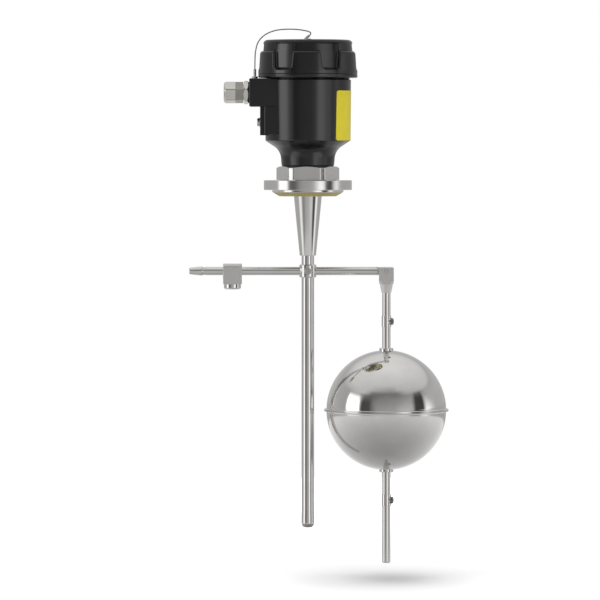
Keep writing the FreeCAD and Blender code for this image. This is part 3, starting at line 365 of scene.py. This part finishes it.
def arc(centre, radius, start_deg, end_deg, steps):
    """Points of a circle arc, from one angle to another."""
    points = []
    for step in range(steps + 1):
        angle = math.radians(start_deg + (end_deg - start_deg) * step / steps)
        points.append((centre[0] + radius * math.cos(angle), centre[1] + radius * math.sin(angle)))
    return points


def through_three(a, b, c, steps):
    """Points of the circle arc from a over b to c."""
    d = 2 * (a.x * (b.y - c.y) + b.x * (c.y - a.y) + c.x * (a.y - b.y))
    squares = [p.length_squared for p in (a, b, c)]
    centre = Vector((
        (squares[0] * (b.y - c.y) + squares[1] * (c.y - a.y) + squares[2] * (a.y - b.y)) / d,
        (squares[0] * (c.x - b.x) + squares[1] * (a.x - c.x) + squares[2] * (b.x - a.x)) / d))
    first, last = math.atan2(*(a - centre).yx), math.atan2(*(c - centre).yx)
    while last - first > math.pi:
        last -= 2 * math.pi
    while first - last > math.pi:
        last += 2 * math.pi
    return arc(centre, (a - centre).length, math.degrees(first), math.degrees(last), steps)


def between(value, table):
    """The number that a table of (value, number) pairs gives, in straight lines between its rows."""
    for (low, first), (high, second) in zip(table, table[1:]):
        if value <= high:
            return first + (second - first) * max(0.0, value - low) / (high - low)
    return table[-1][1]


def lathe_bm(profile, place, axis="Z", segments=128, closed=False):
    """Turns a (radius, height) profile in millimetres about an axis through place."""
    bm = bmesh.new()
    rings = []
    for radius, height in profile:
        ring = []
        count = 1 if radius < 1e-6 else segments
        for step in range(count):
            angle = 2 * math.pi * step / segments
            u, v = radius * math.cos(angle), radius * math.sin(angle)
            point = {"Z": (u, v, height), "X": (height, u, v), "Y": (u, height, v)}[axis]
            ring.append(bm.verts.new([(p + q) * mm for p, q in zip(point, place)]))
        rings.append(ring)
    pairs = list(zip(rings, rings[1:]))
    if closed:
        pairs.append((rings[-1], rings[0]))
    for low, high in pairs:
        if len(low) == 1 and len(high) == 1:
            continue
        for step in range(segments):
            following = (step + 1) % segments
            if len(low) == 1:
                bm.faces.new((low[0], high[step], high[following]))
            elif len(high) == 1:
                bm.faces.new((low[step], low[following], high[0]))
            else:
                bm.faces.new((low[step], low[following], high[following], high[step]))
    bmesh.ops.recalc_face_normals(bm, faces=bm.faces[:])
    return bm


def lathe(name, profile, body, material, place=(0, 0, 0), axis="Z", replaces=(), segments=128,
          closed=False):
    """A turned piece on its body, in place of the frame nodes that it replaces."""
    bm = lathe_bm(profile, place, axis, segments, closed)
    obj = finish_mesh(name, bm, body, material, replaces)
    even_shading(obj)
    return obj


def cad_bm(node_name, keep=None):
    """A clean copy of a frame node: welded, with its flat faces made whole again."""
    bm = bmesh.new()
    bm.from_mesh(frame["nodes"][node_name].data)
    bmesh.ops.remove_doubles(bm, verts=bm.verts[:], dist=2e-6)
    if keep is not None:
        unwanted = [face for face in bm.faces if not keep(face.calc_center_median() / mm)]
        bmesh.ops.delete(bm, geom=unwanted, context="FACES")
    bmesh.ops.dissolve_limit(
        bm, angle_limit=math.radians(0.4), verts=bm.verts[:], edges=bm.edges[:], delimit={"NORMAL"})
    return bm


def dressed(node_name, material, bevel=0.15, keep=None, name=None, sharp_deg=28.0):
    """A frame node with eased edges and smooth shading, in place of the plain one."""
    body = body_of(frame["nodes"][node_name])[0]
    obj = finish_mesh(name or node_name + "_piece", cad_bm(node_name, keep), body, material,
                      (node_name,), sharp_deg)
    if bevel:
        modifier = obj.modifiers.new("eased", "BEVEL")
        modifier.width = bevel * mm
        modifier.segments = 2
        modifier.limit_method = "ANGLE"
        modifier.angle_limit = math.radians(sharp_deg)
        modifier.use_clamp_overlap = True
        even_shading(obj)
    return obj


# Tether: the route of the wire, then its strands

wire_route = [
    (-50.6, 115.4), (-50.6, 123.8), (-50.1, 132.5), (-47.9, 141.4), (-41.2, 148.5), (-31.0, 152.6),
    (-19.8, 153.6), (-9.0, 153.2), (-2.2, 152.0), (1.65, 151.1), (3.35, 149.05), (1.3, 147.3),
]
wire_radius, wire_groove = 0.6, 0.16
strand_count, strand_lay = 6, 7.0

curve = bpy.data.curves.new("tether_line", "CURVE")
curve.dimensions = "3D"
spline = curve.splines.new("NURBS")
spline.points.add(len(wire_route) - 1)
for point, (x, z) in zip(spline.points, wire_route):
    point.co = (x * mm, 0.0, z * mm, 1.0)
spline.order_u = 3
spline.use_endpoint_u = True
spline.resolution_u = 16
line = bpy.data.objects.new("tether_line", curve)
scene.collection.objects.link(line)
bpy.context.view_layer.update()
line_mesh = bpy.data.meshes.new_from_object(line)
centreline = [vertex.co.copy() for vertex in line_mesh.vertices]
bpy.data.objects.remove(line)

bm = bmesh.new()
rings = []
travelled = 0.0
steps_round = 36
for index, point in enumerate(centreline):
    before = centreline[max(index - 1, 0)]
    after = centreline[min(index + 1, len(centreline) - 1)]
    if index:
        travelled += (point - before).length
    along = (after - before).normalized()
    side = Vector((0, 1, 0))
    out = along.cross(side).normalized()
    twist = 2 * math.pi * travelled / (strand_lay * mm)
    ring = []
    for step in range(steps_round):
        angle = 2 * math.pi * step / steps_round
        lobe = abs(math.cos(strand_count * (angle - twist) / 2))
        radius = wire_radius * mm * (1 - wire_groove + wire_groove * math.sqrt(lobe))
        ring.append(bm.verts.new(point + (side * math.cos(angle) + out * math.sin(angle)) * radius))
    rings.append(ring)
skin(bm, rings)
bm.faces.new(rings[0])
bm.faces.new(rings[-1])
bmesh.ops.recalc_face_normals(bm, faces=bm.faces[:])
wire = finish_mesh("tether_cable", bm, None, wire_steel, ("tether_wire",), 60.0)
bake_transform(wire, "housing", "tether_swivel", (-0.0506, 0, 0.116), (-0.0506, 0, 0.140))


# Process connection

flange_radius, flange_top = 42, 9.3
spigot_radius, spigot_low = 34, -2.2
boss_radius, boss_top = 27, 9.9
hexagon_low, hexagon_bore = 9.69, 10
flange = soften([
    (0, spigot_low), (spigot_radius, spigot_low), (spigot_radius, 0, 0.1), (flange_radius, 0),
    (flange_radius, flange_top), (boss_radius, flange_top, 0.1), (boss_radius, boss_top), (0, boss_top),
], 0.5)
lathe("flange_disc", flange, "housing", fitting_steel, segments=256)
dressed("process_fitting", hexagon_steel, 0.25,
        lambda p: p.z > hexagon_low and p.length > hexagon_bore, name="hexagon")

gasket_bore, gasket_radius, gasket_low, gasket_top = 19, 24.7, 22.5, 23.3
gasket = soften([(gasket_bore, gasket_low), (gasket_radius, gasket_low), (gasket_radius, gasket_top),
                 (gasket_bore, gasket_top)], 0.25)
lathe("neck_gasket_ring", gasket, "housing", rubber, replaces=("neck_gasket",))

seal_bore, seal_wide, seal_narrow, seal_low = 13.25, 33.6, 27.2, -5.9
seal_profile = soften([(seal_bore, spigot_low), (seal_wide, spigot_low), (seal_narrow, seal_low, 0.4),
                       (seal_bore, seal_low)], 0.3)
seal = lathe("flange_gasket", seal_profile, "housing", ochre, replaces=("flange_seal",), segments=192)
# The seal's underside gets the darker copy of the ochre: painted shade.
partly(seal, painted_shade_ochre, lambda face: face.normal.z < -0.95)

taper_bore, taper_wide, taper_narrow = 6.05, 13.2, 7.75
taper_start, taper_end = -7.2, -62.7
taper = soften([(taper_bore, spigot_low), (taper_wide, spigot_low), (taper_wide, taper_start, 1.5),
                (taper_narrow, taper_end, 0.5), (taper_bore, taper_end)], 0.3)
lathe("taper", taper, "housing", turned_steel, replaces=("taper_sleeve",), segments=160)

tube_radius, tube_top, tube_end = 6.0, 61, -305.9
lathe("tube", [(tube_radius, z) for z in (tube_top, -60, -180, tube_end)], "housing", turned_steel,
      replaces=("immersion_tube",), segments=128)
plug_radius, plug_flare, plug_foot, foot_round = 6.2, -313.0, -318.5, 4.2
foot_arc = arc((plug_radius - foot_round, plug_foot), foot_round, 0, -90, 12)
plug = [(tube_radius, tube_end), (plug_radius, plug_flare), (plug_radius, plug_foot)] + foot_arc[1:] + [
    (0, plug_foot - foot_round)]
foot = lathe("tube_plug", plug, "housing", turned_steel, replaces=("tube_end_plug",), segments=128)
# The foot's downward faces get the darker copy of the steel: painted shade for the dark floor below that
# they mirror.
partly(foot, painted_shade_steel, lambda face: face.normal.z < -0.1)



# Housing

rim_radius, rim_top = 41.2, 105.4
flare_start, flare_end = Vector((25.7, 30.5)), Vector((31.9, 41.4))
flare_bulge = 0.115
chord = flare_end - flare_start
outward = Vector((-chord.y, chord.x)).normalized()
flare_middle = (flare_start + flare_end) / 2 + outward * (chord.length * flare_bulge)
flare_points = through_three(flare_start, flare_middle, flare_end, 10)
shell = soften([(19.2, gasket_top), (25.1, gasket_top, 0.6)] + [(r, z, 0.0) for r, z in flare_points] + [
    (40.5, 47.1, 1.2), (rim_radius, rim_top, 0.8), (39.3, rim_top)], 0.0, 6)
lathe("housing_bowl", shell, "housing", housing_black, segments=256,
      replaces=("housing_shell",))

# Thread under the lid, and the bore that it surrounds
thread_pitch, thread_top, thread_runout = 2.0, 119.0, 1.5
thread_root, thread_depth = 39.35, 0.85
bore_radius, bore_low = 37.2, 51.0
rows, columns = 108, 96


def thread_radius(angle, z):
    phase = ((z - rim_top) / thread_pitch - angle / (2 * math.pi)) % 1.0
    ridge = 1 - abs(2 * phase - 1)
    fade = max(0.0, min(1.0, (thread_top - z) / thread_runout, (z - rim_top) / thread_runout))
    return thread_root + thread_depth * min(1.0, max(0.0, ridge * 1.5 - 0.2)) * fade


levels = [(None, rim_top + (thread_top - rim_top) * row / rows) for row in range(rows + 1)]
levels += [(bore_radius, thread_top), (bore_radius, bore_low), (30.0, 43.8), (14.0, 43.8)]
bm = bmesh.new()
grid = []
for fixed_radius, z in levels:
    ring = []
    for column in range(columns):
        angle = 2 * math.pi * column / columns
        radius = fixed_radius or thread_radius(angle, z)
        ring.append(bm.verts.new((radius * math.cos(angle) * mm, radius * math.sin(angle) * mm, z * mm)))
    grid.append(ring)
skin(bm, grid)
bmesh.ops.recalc_face_normals(bm, faces=bm.faces[:])
finish_mesh("housing_thread", bm, "housing", housing_black)

dressed("entry_block", housing_black, 0.0)
dressed("side_pad", housing_black, 0.0)
dressed("terminal_posts", housing_black, 0.1)

# Lid: one skin of level outlines, so that the walls of the recesses meet floors and lugs in
# rounded edges. Heights are counted from the lid's foot.
lid_foot, lid_rise = 107.0, 36.2
lid_bore, lid_ceiling, bore_corner, rivet_hole = 40.25, 31.8, 2.0, 1.55
lug_rise, lug_round = 25.4, 3.0
recess_foot, recess_rise, corner_round, recess_end = 6.7, 8.4, 2.0, 32.0
lug_turn, lug_count = math.radians(-1.5), 6

lug_side = [(0, 46.5), (0.25, 46.9), (0.9, 47.4), (3.2, 47.4), (3.6, 47.05), (4.0, 47.4),
            (recess_foot, 47.4), (lug_rise - lug_round, 46.8)]
for x, z in arc((43.8, lug_rise - lug_round), lug_round, 9, 90, 9):
    lug_side.append((z, x))
lug_side += [(lug_rise + 0.3, 43.3), (32.4, 42.75)]
for x, z in arc((38.7, 32.3), 3.9, 8, 90, 9):
    lug_side.append((z, x))
floor_side = [(recess_foot, 47.4), (7.0, 47.25), (7.3, 46.9), (8.9, 43.8), (9.3, 43.3), (9.8, 43.1),
              (lug_rise, 42.6), (recess_end, 41.9), (recess_end + 0.6, 42.75)]
recess_half = [(recess_rise, 8.7), (lug_rise, 10.2)]
hollow_round, edge_round = 1.1, 1.7


def half_outline(rise):
    """Half a recess and half a lug beside it, as (sideways, outwards) points."""
    lug = between(rise, lug_side)
    floor = lug - 0.02
    if recess_foot < rise < recess_end + 0.6:
        floor = min(floor, between(rise, floor_side))
    half = between(rise, recess_half)
    foot = rise - recess_rise
    if 0 < foot < corner_round:
        half -= corner_round - math.sqrt(corner_round ** 2 - (corner_round - foot) ** 2)
    elif foot <= 0:
        half -= corner_round
    hollow = min(hollow_round, 0.3 * (lug - floor))
    edge = min(edge_round, 0.45 * (lug - floor))
    inner, outer = half - hollow, half + edge
    first, last = math.asin(inner / (floor + hollow)), math.asin(outer / (lug - edge))
    points = [(floor * math.sin(first * k / 8), floor * math.cos(first * k / 8)) for k in range(8)]
    points += arc((inner, (floor + hollow) * math.cos(first)), hollow, -90 - math.degrees(first), 0, 6)
    points += arc((outer, (lug - edge) * math.cos(last)), edge, 180, 90 - math.degrees(last), 8)
    for k in range(1, 7):
        angle = last + (math.pi / lug_count - last) * k / 6
        points.append((lug * math.sin(angle), lug * math.cos(angle)))
    return points


def around(half, z):
    """A full outline at one height from one half of a recess."""
    ring = []
    for step in range(lug_count):
        turned = lug_turn + 2 * math.pi * (step + 0.5) / lug_count
        whole = [(-x, y) for x, y in half[:0:-1]] + half[:-1]
        for x, y in whole:
            ring.append(Vector((x * math.cos(turned) + y * math.sin(turned),
                                x * math.sin(turned) - y * math.cos(turned), z)) * mm)
    return ring


rises = sorted({z for z, _ in lug_side} | {z for z, _ in floor_side}
               | {recess_rise + 0.25 * k for k in range(1, 9)} | {11.0 + 1.2 * k for k in range(10)}
               | {26.5, 28.0, 30.0, 31.6})
outlines = [around(half_outline(rise), lid_foot + rise) for rise in rises]

# The top hole, the ceiling and the bore follow the directions of an outline halfway up
spokes = [math.atan2(x, y) for x, y in half_outline(16.0)]
for radius, rise in (
        (rivet_hole, lid_rise), (rivet_hole, lid_ceiling), (lid_bore - bore_corner, lid_ceiling),
        (lid_bore, lid_ceiling - bore_corner), (lid_bore, 0.0)):
    half = [(radius * math.sin(spoke), radius * math.cos(spoke)) for spoke in spokes]
    outlines.append(around(half, lid_foot + rise))
bm = bmesh.new()
grid = [[bm.verts.new(point) for point in outline] for outline in outlines]
skin(bm, grid + grid[:1])
bmesh.ops.recalc_face_normals(bm, faces=bm.faces[:])
lid = finish_mesh("lid_piece", bm, "lid", lid_black, ("lid",), 40.0)
even_shading(lid)

dressed("type_label", foil, 0.1)
dressed("lid_seal", rubber, 0.2)
dressed("outer_earth_screw", screw_steel, 0.12)
dressed("earth_washer", screw_steel, 0.1)
for name in ("terminal_base", "terminal_block"):
    dressed(name, moulding, 0.3)
for name in ("terminal_screws", "terminal_base_screws", "inner_earth_screw"):
    dressed(name, screw_steel, 0.1)

# Cable gland
gland_height = 93.0
washer_bore, washer_radius, washer_faces = 8.05, 10.2, (-55.8, -56.9)
washer = soften([(washer_bore, washer_faces[0]), (washer_radius, washer_faces[0]),
                 (washer_radius, washer_faces[1]), (washer_bore, washer_faces[1])], 0.3)
lathe("gland_ring", washer, "housing", rubber, (0, 0, gland_height), "X", ("gland_washer",))
dressed("gland_body", nickel, 0.2)
nut = dressed("gland_nut", nickel, 0.2)
# The nut's faces nearer the housing get the darker copy of the nickel: painted shade for the darker things
# that they mirror.
nut_waist = -70.2
partly(nut, painted_shade_nickel, lambda face: face.center.x > nut_waist * mm)
dressed("gland_claw", moulding, 0.1)
dressed("gland_seal", rubber, 0.3)

# Tether ends
dressed("tether_anchor", screw_steel, 0.1)
dressed("tether_swivel", screw_steel, 0.1)
dressed("tether_ferrule", screw_steel, 0.15)

# Lever
dressed("rocker_hub", arm_steel, 0.1)
dressed("pivot_pin", screw_steel, 0.1)
dressed("pivot_bush", turned_steel, 0.05)
dressed("right_arm", arm_steel, 0.15)
dressed("left_arm", arm_steel, 0.15)
dressed("arm_tip", arm_steel, 0.3)
dressed("switching_magnet", magnet_grey, 0.2)
dressed("counterweight_block", ground_steel, 0.6)
dressed("clamp_screw", turned_steel, 0.1)
dressed("fork_head", ground_steel, 0.2)
dressed("fork_pin", turned_steel, 0.1)
dressed("contact_carrier", moulding, 0.1)
dressed("reed_capsule", glass, 0.0)
dressed("contact_leads", copper, 0.0)

# Float rod, float and stops
place = (float_axis, 0, 0)
rod_radius, rod_low, rod_top, rod_chamfer = 4.0, -356.5, -91.1, 0.8
rod_profile = soften([(0, rod_low), (rod_radius - rod_chamfer, rod_low),
                      (rod_radius, rod_low + rod_chamfer), (rod_radius, rod_top), (0, rod_top)], 0.25)
lathe("rod", rod_profile, "float_rod", turned_steel, place, replaces=("float_rod",), segments=96)

float_z, float_radius, seam_radius, lip = -210.3, 57.2, 59.44, 1.1
hole_radius = 5.2
top_deg = math.degrees(math.acos(hole_radius / float_radius))
lip_deg = math.degrees(math.asin(lip / float_radius))
upper = arc((0, float_z), float_radius, top_deg, lip_deg + 0.6, 120)
upper += soften([upper[-1], (float_radius + 0.15, float_z + lip, 0.5),
                 (seam_radius, float_z + lip, 0.35), (seam_radius, float_z + 0.12, 0.1),
                 (seam_radius - 0.5, float_z)], 0.2)[1:]
lower = [(radius, 2 * float_z - z) for radius, z in upper]
lathe("ball_upper", upper, "float", ball_steel, place, replaces=("float_upper_shell",), segments=256)
lathe("ball_lower", lower, "float", satin_ball, place, replaces=("float_lower_shell",), segments=256)
collar_bore, collar_radius, collar_foot, collar_top = 4.1, 6.65, 56.6, 59.31
for side, name in ((1, "float_top_collar"), (-1, "float_bottom_collar")):
    ring = soften([(collar_bore, collar_foot), (collar_radius, collar_foot),
                   (collar_radius, collar_top, 0.6), (collar_bore, collar_top)], 0.3)
    ring = [(radius, float_z + side * z) for radius, z in ring]
    lathe(name + "_ring", ring, "float", turned_steel, place, replaces=(name,), closed=True)
sleeve_bore, sleeve_radius, sleeve_half = 4.08, 5.08, 59.3
sleeve = [(sleeve_bore, float_z - sleeve_half), (sleeve_bore, float_z + sleeve_half),
          (sleeve_radius, float_z + sleeve_half), (sleeve_radius, float_z - sleeve_half)]
lathe("sleeve", sleeve, "float", turned_steel, place, replaces=("float_sleeve",), closed=True)
for name in ("upper_stop_collar", "lower_stop_collar"):
    dressed(name, turned_steel, 0.12)
for name in ("upper_stop_screw", "lower_stop_screw"):
    dressed(name, dark_screw, 0.1)


# Floor, light and world

fork_x = float_axis * mm
floor_z, floor_radius = -0.373, 1.6
floor_white = 0.79


def level_disc(name, radius, z):
    bm = bmesh.new()
    bmesh.ops.create_circle(bm, cap_ends=True, segments=96, radius=radius)
    mesh = bpy.data.meshes.new(name)
    bm.to_mesh(mesh)
    bm.free()
    disc = bpy.data.objects.new(name, mesh)
    disc.location = (fork_x, 0.0, z)
    scene.collection.objects.link(disc)
    return disc


floor = level_disc("floor", floor_radius, floor_z)

# Seen by the camera the floor glows white away from the object: painted light that fades to none near the
# float, so the floor keeps the shadow only near it.
floor_material, tree, shader = new_material("floor_white")
shader.inputs["Base Color"].default_value = (floor_white,) * 3 + (1.0,)
shader.inputs["Roughness"].default_value = 0.9
shader.inputs["Specular IOR Level"].default_value = 0.0
path = node(tree, "ShaderNodeLightPath")
place = node(tree, "ShaderNodeTexCoord")
# The painted glow's distances to the front and back count half, and its middle lies a little behind the
# float, so these shape the shadow that shows.
shortened = node(tree, "ShaderNodeVectorMath", operation="MULTIPLY_ADD")
shortened.inputs[1].default_value = (1.0, 0.5, 1.0)
shortened.inputs[2].default_value = (-0.007, -0.011, 0.0)
tree.links.new(place.outputs["Object"], shortened.inputs[0])
painted_lift = along_curve(tree, length_of(tree, shortened.outputs[0]), [
    (0.0, 0.0), (0.02, 0.07), (0.04, 0.16), (0.06, 0.22), (0.12, 0.33), (0.25, 0.55), (0.5, 1.0),
    (1.0, 1.0)])
glow = node(tree, "ShaderNodeEmission")
tree.links.new(calculate(tree, "MULTIPLY", path.outputs["Is Camera Ray"], painted_lift), glow.inputs["Strength"])
both = node(tree, "ShaderNodeAddShader")
tree.links.new(shader.outputs[0], both.inputs[0])
tree.links.new(glow.outputs[0], both.inputs[1])
unseen = node(tree, "ShaderNodeBsdfTransparent")
shown = mix_shaders(tree, path.outputs["Is Glossy Ray"], both.outputs[0], unseen.outputs[0])
tree.links.new(shown, tree.nodes["Material Output"].inputs["Surface"])
floor.data.materials.append(floor_material)

# What metal mirrors of the table: a painted reflection, glowing for glossy rays only, with painted shadow
# darker close under the float, and soft at its edge
table_z, table_edge, table_soft = -0.55, 2.5, 0.1
pattern_size = 2.31
table = level_disc("table", table_edge + 2 * table_soft, table_z)
for kind in ("camera", "diffuse", "transmission", "volume_scatter", "shadow"):
    setattr(table, "visible_" + kind, False)

table_material, tree, shader = new_material("table_mirrored")
tree.nodes.remove(shader)
place = node(tree, "ShaderNodeTexCoord")
away = length_of(tree, place.outputs["Object"])
level = along_curve(tree, spread(tree, away, 0.0, 1.0, 0.0, pattern_size), [
    (0.0, 0.34), (0.07, 0.40), (0.14, 0.475), (0.29, 0.60), (0.74, 0.735), (1.0, 0.74)])
# Painted light in the mirrored table: brighter towards the back, darker towards the front.
sides = node(tree, "ShaderNodeSeparateXYZ")
tree.links.new(place.outputs["Object"], sides.inputs[0])
lean = calculate(tree, "DIVIDE", sides.outputs["Y"], calculate(tree, "ADD", away, 0.05))
gain = spread(tree, lean, 0.83, 1.17, -1.0, 1.0)
glow = node(tree, "ShaderNodeEmission")
tree.links.new(calculate(tree, "MULTIPLY", level, gain), glow.inputs["Strength"])
unseen = node(tree, "ShaderNodeBsdfTransparent")
ending = spread(tree, away, 0.0, 1.0, table_edge - table_soft, table_edge + table_soft)
shown = mix_shaders(tree, ending, glow.outputs[0], unseen.outputs[0])
tree.links.new(shown, tree.nodes["Material Output"].inputs["Surface"])
table.data.materials.append(table_material)

world = bpy.data.worlds.new("studio")
scene.world = world
world.use_nodes = True
tree = world.node_tree
tree.nodes.clear()
place = node(tree, "ShaderNodeTexCoord")
parts = node(tree, "ShaderNodeSeparateXYZ")
tree.links.new(place.outputs["Generated"], parts.inputs[0])


def brightness_ramp(value, stops):
    """Grey levels along a value, from (position, level) stops."""
    ramp = node(tree, "ShaderNodeValToRGB")
    elements = ramp.color_ramp.elements
    while len(elements) > 1:
        elements.remove(elements[-1])
    elements[0].position = stops[0][0]
    elements[0].color = (stops[0][1],) * 3 + (1.0,)
    for position, level in stops[1:]:
        element = elements.new(position)
        element.color = (level,) * 3 + (1.0,)
    tree.links.new(value, ramp.inputs[0])
    return ramp.outputs[0]


backwards = calculate(tree, "MULTIPLY", parts.outputs["Y"], -1.0)
azimuth = calculate(tree, "ARCTAN2", parts.outputs["X"], backwards)
turn = calculate(tree, "ADD", calculate(tree, "DIVIDE", azimuth, 2 * math.pi), 0.5)
height = calculate(tree, "MULTIPLY", calculate(tree, "ARCSINE", parts.outputs["Z"]), 180 / math.pi)

# The room that metal mirrors, as bands from straight down to straight up. Each band holds its
# height in degrees and its brightness at compass angles, counted from behind the camera.
room_low = [
    (-180, 0.45), (-96, 0.45), (-84, 0.5), (-78, 1.0), (-62, 1.0), (-54, 0.6), (-46, 0.3),
    (-38, 0.27), (-30, 0.32), (-20, 0.41), (-5, 0.46), (8, 0.5), (18, 0.6), (26, 0.7), (36, 0.68),
    (42, 0.45), (47, 0.1), (60, 0.04), (66, 0.3), (73, 1.0), (82, 1.1), (90, 0.66), (104, 0.42),
    (180, 0.45)]
room_level = [
    (-180, 0.45), (-96, 0.45), (-86, 0.48), (-79, 1.3), (-57, 1.25), (-52, 0.45), (-47, 0.15),
    (-35, 0.13), (-28, 0.2), (-20, 0.32), (-10, 0.38), (5, 0.42), (14, 0.5), (20, 0.72), (26, 1.0),
    (31, 1.25), (40, 1.22), (45, 0.75), (50, 0.1), (63, 0.08), (68, 0.35), (74, 0.86), (82, 1.0),
    (88, 0.67), (96, 0.43), (180, 0.45)]
room_bands = [
    (-90, [(0, 0.5)]),
    (-20, [(0, 0.6)]),
    (-15, room_low),
    (-8, room_low),
    (-4, room_level),
    (0.8, room_level),
    (2, [(-180, 0.57), (-120, 0.48), (-105, 0.43), (-90, 0.4), (-87, 0.5), (-82, 2.3), (-58, 2.2),
         (-54, 0.5), (-51, 0.07), (-35, 0.08), (-30, 0.17), (-20, 0.33), (0, 0.38), (15, 0.4),
         (22, 0.48), (30, 0.53), (45, 0.55), (51, 0.52), (55, 0.26), (58, 0.06), (76, 0.06),
         (80, 0.6), (84, 1.15), (91, 1.15), (95, 0.95), (100, 0.73), (106, 0.57), (112, 0.46),
         (150, 0.5), (180, 0.57)]),
    (15, [(-180, 0.57), (-155, 0.52), (-115, 0.46), (-90, 0.42), (-87, 0.5), (-83, 2.2),
          (-58, 2.0), (-54, 0.45), (-50, 0.07), (-35, 0.08), (-30, 0.17), (-25, 0.25), (-15, 0.28),
          (0, 0.3), (30, 0.37), (40, 0.42), (50, 0.42), (55, 0.22), (59, 0.06), (76, 0.05),
          (80, 0.4), (85, 0.7), (90, 0.6), (100, 0.5), (150, 0.5), (180, 0.57)]),
    (22, [(-180, 0.52), (-115, 0.46), (-90, 0.42), (-87, 0.5), (-83, 1.6), (-60, 1.4), (-54, 0.4),
          (-48, 0.12), (-35, 0.12), (-25, 0.2), (-15, 0.25), (0, 0.27), (30, 0.31), (50, 0.37),
          (56, 0.25), (60, 0.06), (76, 0.06), (82, 0.42), (100, 0.46), (180, 0.52)]),
    (28, [(-180, 0.49), (-120, 0.47), (-90, 0.42), (-75, 0.55), (-62, 0.52), (-55, 0.35),
          (-45, 0.2), (-35, 0.15), (0, 0.24), (20, 0.22), (35, 0.27), (50, 0.33), (57, 0.3),
          (61, 0.16), (75, 0.14), (80, 0.3), (90, 0.43), (180, 0.49)]),
    (33, [(-180, 0.58), (-120, 0.55), (-60, 0.6), (-50, 0.57), (-40, 0.4), (-35, 0.26), (-30, 0.2),
          (22, 0.21), (30, 0.27), (40, 0.41), (50, 0.47), (90, 0.58), (120, 0.65), (180, 0.58)]),
    (40, [(-180, 0.7), (-90, 0.71), (-60, 0.62), (-40, 0.57), (-20, 0.47), (8, 0.38), (20, 0.42),
          (25, 0.51), (50, 0.58), (130, 0.7), (180, 0.7)]),
    (51, [(-180, 0.77), (-120, 0.76), (-60, 0.68), (20, 0.62), (60, 0.66), (140, 0.77), (180, 0.77)]),
    (69, [(-180, 0.8), (-60, 0.75), (0, 0.71), (60, 0.76), (120, 0.8), (180, 0.8)]),
    (90, [(0, 0.83)]),
]
studio_colour, below = None, None
for elevation, band in room_bands:
    colour = brightness_ramp(turn, [(degrees / 360 + 0.5, level) for degrees, level in band])
    if studio_colour is not None:
        mix = node(tree, "ShaderNodeMix", data_type="RGBA")
        tree.links.new(spread(tree, height, 0.0, 1.0, below, elevation), mix.inputs["Factor"])
        for source, socket in zip((studio_colour, colour), colour_sockets(mix.inputs)):
            tree.links.new(source, socket)
        colour = colour_sockets(mix.outputs)[0]
    studio_colour, below = colour, elevation

mirrored = node(tree, "ShaderNodeBackground", Strength=1.0)
tree.links.new(studio_colour, mirrored.inputs["Color"])
white = (1.0, 1.0, 1.0, 1.0)
soft = node(tree, "ShaderNodeBackground", Strength=0.35, Color=white)
seen = node(tree, "ShaderNodeBackground", Strength=1.0, Color=white)
path = node(tree, "ShaderNodeLightPath")
shown = soft.outputs[0]
for ray, background in (("Glossy", mirrored), ("Transmission", seen), ("Camera", seen)):
    shown = mix_shaders(tree, path.outputs["Is " + ray + " Ray"], shown, background.outputs[0])
output = node(tree, "ShaderNodeOutputWorld")
tree.links.new(shown, output.inputs["Surface"])


def softbox(name, location, target, width, height, power):
    """A rectangular lamp that metal doesn't mirror."""
    data = bpy.data.lights.new(name, "AREA")
    data.shape = "RECTANGLE"
    data.size, data.size_y = width, height
    data.energy = power
    lamp = bpy.data.objects.new(name, data)
    lamp.location = location
    lamp.rotation_mode = "QUATERNION"
    lamp.rotation_quaternion = (Vector(target) - Vector(location)).to_track_quat("-Z", "Y")
    lamp.visible_glossy = False
    scene.collection.objects.link(lamp)
    return lamp


middle = (0.0, 0.0, -0.1)
softbox("key_left", (-1.5, -1.2, 0.9), middle, 1.0, 1.2, 16.0)
softbox("fill_right", (1.6, -1.3, 0.5), middle, 1.0, 1.2, 10.5)
softbox("top", (fork_x, -0.02, 1.7), (fork_x, 0.0, -0.1), 0.8, 2.1, 20.0)

# Strip boxes that only the glossy paint mirrors
painted = bpy.data.collections.new("painted")
for name in ("housing_bowl", "housing_thread", "entry_block_piece", "side_pad_piece", "lid_piece"):
    painted.objects.link(bpy.data.objects[name])
strip_distance, strip_height = 0.45, 0.85
strip_centre = Vector((0.0, 0.0, -0.075))
for name, azimuth_deg, half_deg, level in (
        ("strip_window", -67.0, 11.0, 0.98), ("strip_left", -48.0, 9.0, 0.6),
        ("strip_right", 44.0, 20.0, 1.0)):
    strip_width = 2 * strip_distance * math.tan(math.radians(half_deg))
    turned = math.radians(azimuth_deg)
    spot = strip_centre + Vector((math.sin(turned), -math.cos(turned), 0.0)) * strip_distance
    power = level * math.pi * strip_width * strip_height
    strip = softbox(name, spot, strip_centre, strip_width, strip_height, power)
    strip.visible_glossy = True
    strip.visible_diffuse = False
    strip.visible_camera = False
    strip.light_linking.receiver_collection = painted
